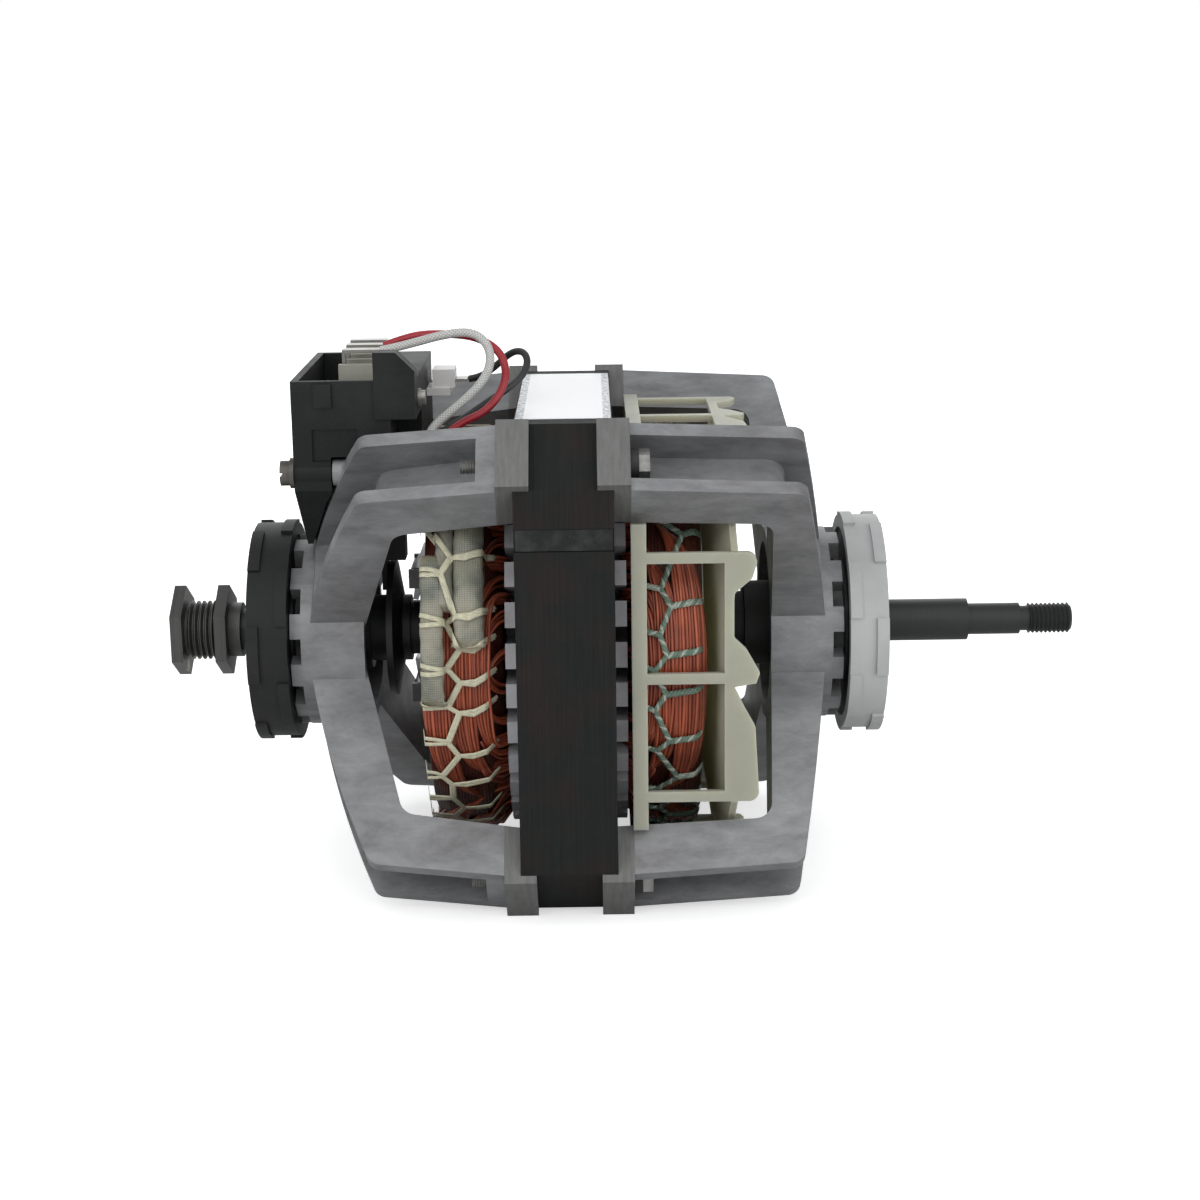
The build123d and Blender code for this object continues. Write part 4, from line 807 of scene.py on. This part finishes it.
plain_weave = add(tree, "ShaderNodeMath", {0: thread_bands("X", threads_round).outputs["Fac"],
                                           1: thread_bands("Y", threads_along).outputs["Fac"]},
                  operation="MULTIPLY")
tone = add(tree, "ShaderNodeTexNoise", {"Vector": where.outputs["Object"], "Scale": 160.0,
                                        "Detail": 3.0})
thread_color = mix(
    tree, plain_weave.outputs[0],
    ramp_between(tree, tone.outputs["Fac"], (0.1, 0.112, 0.09), (0.2, 0.198, 0.165), 0.4, 0.6),
    ramp_between(tree, tone.outputs["Fac"], (0.23, 0.24, 0.2), (0.42, 0.405, 0.34), 0.4, 0.6))
sleeve_marks = place_group(tree, marks, {
    "Place": where.outputs["Object"], "Color": thread_color,
    "Dust Color": (0.4, 0.36, 0.25, 1), "Dust": 0.4, "Blotch Scale": 110.0,
    "Grain Scale": 1500.0, "Roughness": 0.5, "Grain Height": 0.1})
along = add(tree, "ShaderNodeSeparateXYZ", {0: where.outputs["UV"]})
from_middle_of_tube = add(tree, "ShaderNodeMath", {0: along.outputs["Y"], 1: 0.5},
                          operation="SUBTRACT")
end_distance = add(tree, "ShaderNodeMath", {0: from_middle_of_tube.outputs[0]},
                   operation="ABSOLUTE")
frayed = add(tree, "ShaderNodeMapRange", {"Value": end_distance.outputs[0], "From Min": 0.44,
                                          "From Max": 0.49, "To Max": 0.75})
tree.links.new(mix(tree, frayed.outputs[0], sleeve_marks.outputs["Color"],
                   (0.58, 0.54, 0.4, 1)), shader.inputs["Base Color"])
tree.links.new(sleeve_marks.outputs["Roughness"], shader.inputs["Roughness"])
tree.links.new(bump(tree, 0.4, 0.0002, plain_weave.outputs[0], sleeve_marks.outputs["Normal"]),
               shader.inputs["Normal"])
sleeves = [sleeve(*place) for place in sleeve_places]
bpy.ops.object.select_all(action="DESELECT")
for piece in sleeves:
    piece.select_set(True)
bpy.context.view_layer.objects.active = sleeves[0]
bpy.ops.object.join()
sleeve_set = bpy.context.object
sleeve_set.name = "glass_sleeves"
sleeve_set.data.materials.append(woven)
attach(sleeve_set, "stator")
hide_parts("lead_sleeves")

# Rating label. A blank white foil sticker laid over the top of the stack; the foil's crinkled
# silver margins show along both edges, their bright and dark patches painted on as reflections.
label_shade, tree, shader, where = new_material("blank_foil_label")
split = add(tree, "ShaderNodeSeparateXYZ", {0: where.outputs["Object"]})
offset = add(tree, "ShaderNodeMath", {0: split.outputs["X"], 1: middle_x}, operation="SUBTRACT")
edge = add(tree, "ShaderNodeMath", {0: offset.outputs[0]}, operation="ABSOLUTE")
face_to, foil_from = 0.0105, 0.0107    # metres from the stator's middle
margin = add(tree, "ShaderNodeMapRange", {"Value": edge.outputs[0], "From Min": face_to,
                                          "From Max": foil_from})
crinkle = add(tree, "ShaderNodeTexNoise", {"Vector": where.outputs["Object"], "Scale": 700.0,
                                           "Detail": 4.0, "Roughness": 0.7})
# The margins' bright and dark patches are painted reflections off the crinkles, not the foil's own
# colour.
foil_painted_glints = ramp_between(tree, crinkle.outputs["Fac"], (0.08, 0.09, 0.1), (0.75, 0.77, 0.8), 0.4, 0.6)
tree.links.new(mix(tree, margin.outputs[0], (0.86, 0.87, 0.88, 1), foil_painted_glints),
               shader.inputs["Base Color"])
tree.links.new(bump(tree, 0.3, 0.0003, crinkle.outputs["Fac"]), shader.inputs["Normal"])
set_shader(shader, roughness=0.3)
dress("rating_label", label_shade)

# Rotor. Blackened steel with cast aluminium end rings whose blades move the cooling air.
dress("rotor_core", marked_material("rotor_steel", (0.05, 0.05, 0.052), (0.12, 0.1, 0.09),
                                    roughness=0.4, metallic=0.5))
dress(["rotor_end_ring_belt_end", "rotor_end_ring_blower_end"],
      marked_material("rotor_casting", (0.3, 0.3, 0.31), (0.16, 0.15, 0.14), dust=0.5,
                      roughness=0.5, grain_height=0.3, metallic=0.5))


# Shaft. Ground steel, black oxide, with faint turning marks round it; the blower end steps down
# to a thread.
def turned_metal(name, dark, light, pitch, roughness, metallic, spot=None):
    """Metal with tool marks that run round the shaft's axis."""
    material, tree, shader, where = new_material(name)
    coords = where.outputs["Object"]
    line_place = add(tree, "ShaderNodeMapping", {"Vector": coords,
                                                 "Scale": (1000 / pitch, 8, 8)})
    lines = add(tree, "ShaderNodeTexNoise", {"Vector": line_place.outputs[0], "Scale": 1.0,
                                             "Detail": 3.0, "Roughness": 0.6})
    color = ramp_between(tree, lines.outputs["Fac"], dark, light, 0.3, 0.7)
    if spot:
        away = add(tree, "ShaderNodeVectorMath", {0: coords, 1: spot["place"]},
                   operation="DISTANCE")
        mask = add(tree, "ShaderNodeMapRange", {"Value": away.outputs["Value"],
                                                "From Min": spot["radius"],
                                                "From Max": spot["radius"] * 0.7})
        color = mix(tree, mask.outputs[0], color, (*spot["color"], 1))
    group = place_group(tree, marks, {
        "Place": coords, "Color": color, "Dust Color": (*light, 1), "Dust": 0.3,
        "Blotch Scale": 60.0, "Grain Scale": 1400.0, "Roughness": roughness,
        "Grain Height": 0.05})
    tree.links.new(group.outputs["Color"], shader.inputs["Base Color"])
    tree.links.new(group.outputs["Roughness"], shader.inputs["Roughness"])
    tree.links.new(bump(tree, 0.15, 0.0001, lines.outputs["Fac"], group.outputs["Normal"]),
                   shader.inputs["Normal"])
    set_shader(shader, metallic=metallic)
    return material


dress("shaft", turned_metal("black_oxide_shaft", (0.018, 0.019, 0.019), (0.034, 0.035, 0.034),
                            0.25, 0.42, 0.3))
dress("oil_slingers", turned_metal("slinger_steel", (0.03, 0.03, 0.03), (0.07, 0.07, 0.07),
                                   0.4, 0.4, 0.5))

# Belt pulley. Turned steel with five ribs between two hexagonal flanges, plain grey-brown, and
# a dab of pale yellow paint left of its lower side.
dress("belt_pulley", turned_metal(
    "pulley_steel", (0.06, 0.06, 0.057), (0.115, 0.115, 0.108), 0.3, 0.42, 0.7,
    {"place": at(-108.2, -3.5, -9.6), "radius": 0.0032, "color": (0.42, 0.4, 0.24)}))

# Mount rings. Hard plastic rings, black at the belt end and white at the other, each bonded
# round a black rubber cushion with a steel sleeve that grips the bracket's nose.
dress("belt_end_mount_ring", marked_material(
    "black_ring_plastic", (0.013, 0.0145, 0.0145), (0.03, 0.028, 0.027), dust=0.6,
    blotch_scale=55.0, roughness=0.5, grain_height=0.3, specular=0.25))
dress("blower_end_mount_ring", marked_material(
    "white_ring_nylon", (0.47, 0.48, 0.475), (0.33, 0.33, 0.33), dust=0.5, blotch_scale=50.0,
    roughness=0.42, grain_height=0.1))
dress(["belt_end_mount_cushion", "blower_end_mount_cushion"], marked_material(
    "cushion_rubber", (0.018, 0.018, 0.018), (0.06, 0.06, 0.06), roughness=0.6,
    grain_height=0.3))
dress(["belt_end_mount_sleeve", "blower_end_mount_sleeve"], turned_metal(
    "sleeve_steel", (0.04, 0.04, 0.04), (0.1, 0.1, 0.1), 0.3, 0.4, 0.7))

# Bearings. Oil-soaked bronze in the brackets' noses, with a felt and a sprung steel cup behind
# each, and a black moulded cap round the shaft inside.
dress(["belt_end_bearing", "blower_end_bearing"], turned_metal(
    "oiled_bronze", (0.22, 0.13, 0.05), (0.36, 0.23, 0.1), 0.3, 0.35, 0.8))
dress(["belt_end_oil_felt", "blower_end_oil_felt"], marked_material(
    "oil_felt", (0.3, 0.26, 0.17), (0.16, 0.13, 0.08), dust=0.6, roughness=0.9,
    grain_height=0.8))
dress(["belt_end_bearing_retainer", "blower_end_bearing_retainer"], marked_material(
    "cup_steel", (0.35, 0.35, 0.34), (0.2, 0.19, 0.17), roughness=0.35, metallic=0.9))
dress(["belt_end_bearing_cap", "blower_end_bearing_cap"], marked_material(
    "cap_plastic", (0.012, 0.013, 0.014), (0.04, 0.04, 0.04), roughness=0.5))

# Air baffle. One moulding in natural nylon, cream and a little waxy, that leads the cooling air
# over the windings into the rotor's fan.
dress("air_baffle", marked_material(
    "natural_nylon", (0.385, 0.385, 0.31), (0.31, 0.31, 0.25), dust=0.5, blotch_scale=35.0,
    grain_scale=900.0, roughness=0.45, grain_height=0.06, subsurface=0.8,
    subsurface_radius=(0.006, 0.0056, 0.0042), subsurface_scale=1.0))

# Governor. A sprung black collar on the shaft, moved by two steel weights on a steel plate. The
# spring is wound anew here, between the collar and the plate.
dress("governor_collar", marked_material(
    "collar_plastic", (0.014, 0.014, 0.015), (0.05, 0.045, 0.045), roughness=0.45))
governor_steel = marked_material("governor_steel", (0.1, 0.1, 0.1), (0.05, 0.045, 0.04),
                                 dust=0.5, roughness=0.35, metallic=0.9, grain_height=0.2)
dress(["governor_plate", "governor_pins"], governor_steel)
spring_first, spring_last = -40.455, -35.545    # the wire's middle at the collar and the plate
spring_r, spring_wire = 7.4, 0.9
spring_turns, spring_steps = 3, 48
spring_path = []
for i in range(spring_turns * spring_steps + 1):
    turned = i / spring_steps
    x = spring_first + (spring_last - spring_first) * turned / spring_turns
    spring_path.append(at(x, spring_r * math.sin(2 * math.pi * turned),
                          -spring_r * math.cos(2 * math.pi * turned)))
spring = round_strands("collar_spring", [spring_path], spring_wire / 2000, 3)
spring.data.materials.append(governor_steel)
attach(spring, "rotor")
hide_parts("governor_spring")
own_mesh(spring)
dress(["governor_weight_upper", "governor_weight_lower"], marked_material(
    "weight_steel", (0.3, 0.3, 0.295), (0.12, 0.11, 0.1), dust=0.6, roughness=0.3,
    metallic=0.9, grain_height=0.2))

# Starting switch. A black glass-filled moulding with a dusty, slightly rough skin, screwed to
# the belt-end bracket; brass blades stand in an ivory frame in its open top.
housing_plastic = marked_material("housing_plastic", (0.012, 0.0135, 0.013), (0.028, 0.028, 0.028),
                                  dust=0.55, blotch_scale=45.0, roughness=0.48,
                                  grain_height=0.45, grain_scale=1100.0, specular=0.2)
dress("switch_housing", housing_plastic)
dress("switch_lever", marked_material("lever_plastic", (0.01, 0.011, 0.011),
                                      (0.03, 0.03, 0.03), roughness=0.5))
dress("thermal_protector", housing_plastic)
dress("switch_terminal_frame", marked_material(
    "ivory_moulding", (0.36, 0.35, 0.3), (0.2, 0.185, 0.15), dust=0.5, roughness=0.5))
dress("switch_terminals", marked_material(
    "tinned_brass", (0.42, 0.42, 0.41), (0.3, 0.24, 0.14), dust=0.5, roughness=0.3,
    metallic=0.9))
dress("switch_contact_leaf", marked_material(
    "contact_brass", (0.45, 0.3, 0.1), (0.2, 0.14, 0.06), roughness=0.35, metallic=0.9))
plated = marked_material("plated_steel", (0.5, 0.49, 0.46), (0.28, 0.26, 0.22), dust=0.6,
                         blotch_scale=150.0, roughness=0.32, metallic=0.9, grain_height=0.3)
dulled = marked_material("dulled_steel", (0.14, 0.13, 0.12), (0.07, 0.06, 0.05), dust=0.6,
                         blotch_scale=150.0, roughness=0.42, metallic=0.8, grain_height=0.4)
dress(["switch_screw", "switch_screw_washer", "switch_lever_pin"], dulled)
dress(["connector_blade", "lead_clamp_screw"], plated)
dress("wire_connector", marked_material("connector_nylon", (0.84, 0.84, 0.83),
                                        (0.55, 0.55, 0.52), roughness=0.4))

# Through bolts. Four zinc-plated bolts with hexagonal heads and steel washers hold the brackets
# and the stack together.
dress("through_bolts", marked_material(
    "zinc_plate", (0.42, 0.42, 0.41), (0.15, 0.14, 0.125), dust=0.7, blotch_scale=140.0,
    roughness=0.36, metallic=0.85, grain_height=0.3))
dress("bolt_washers", marked_material(
    "blackened_washer", (0.03, 0.03, 0.031), (0.07, 0.065, 0.06), roughness=0.45, metallic=0.4))
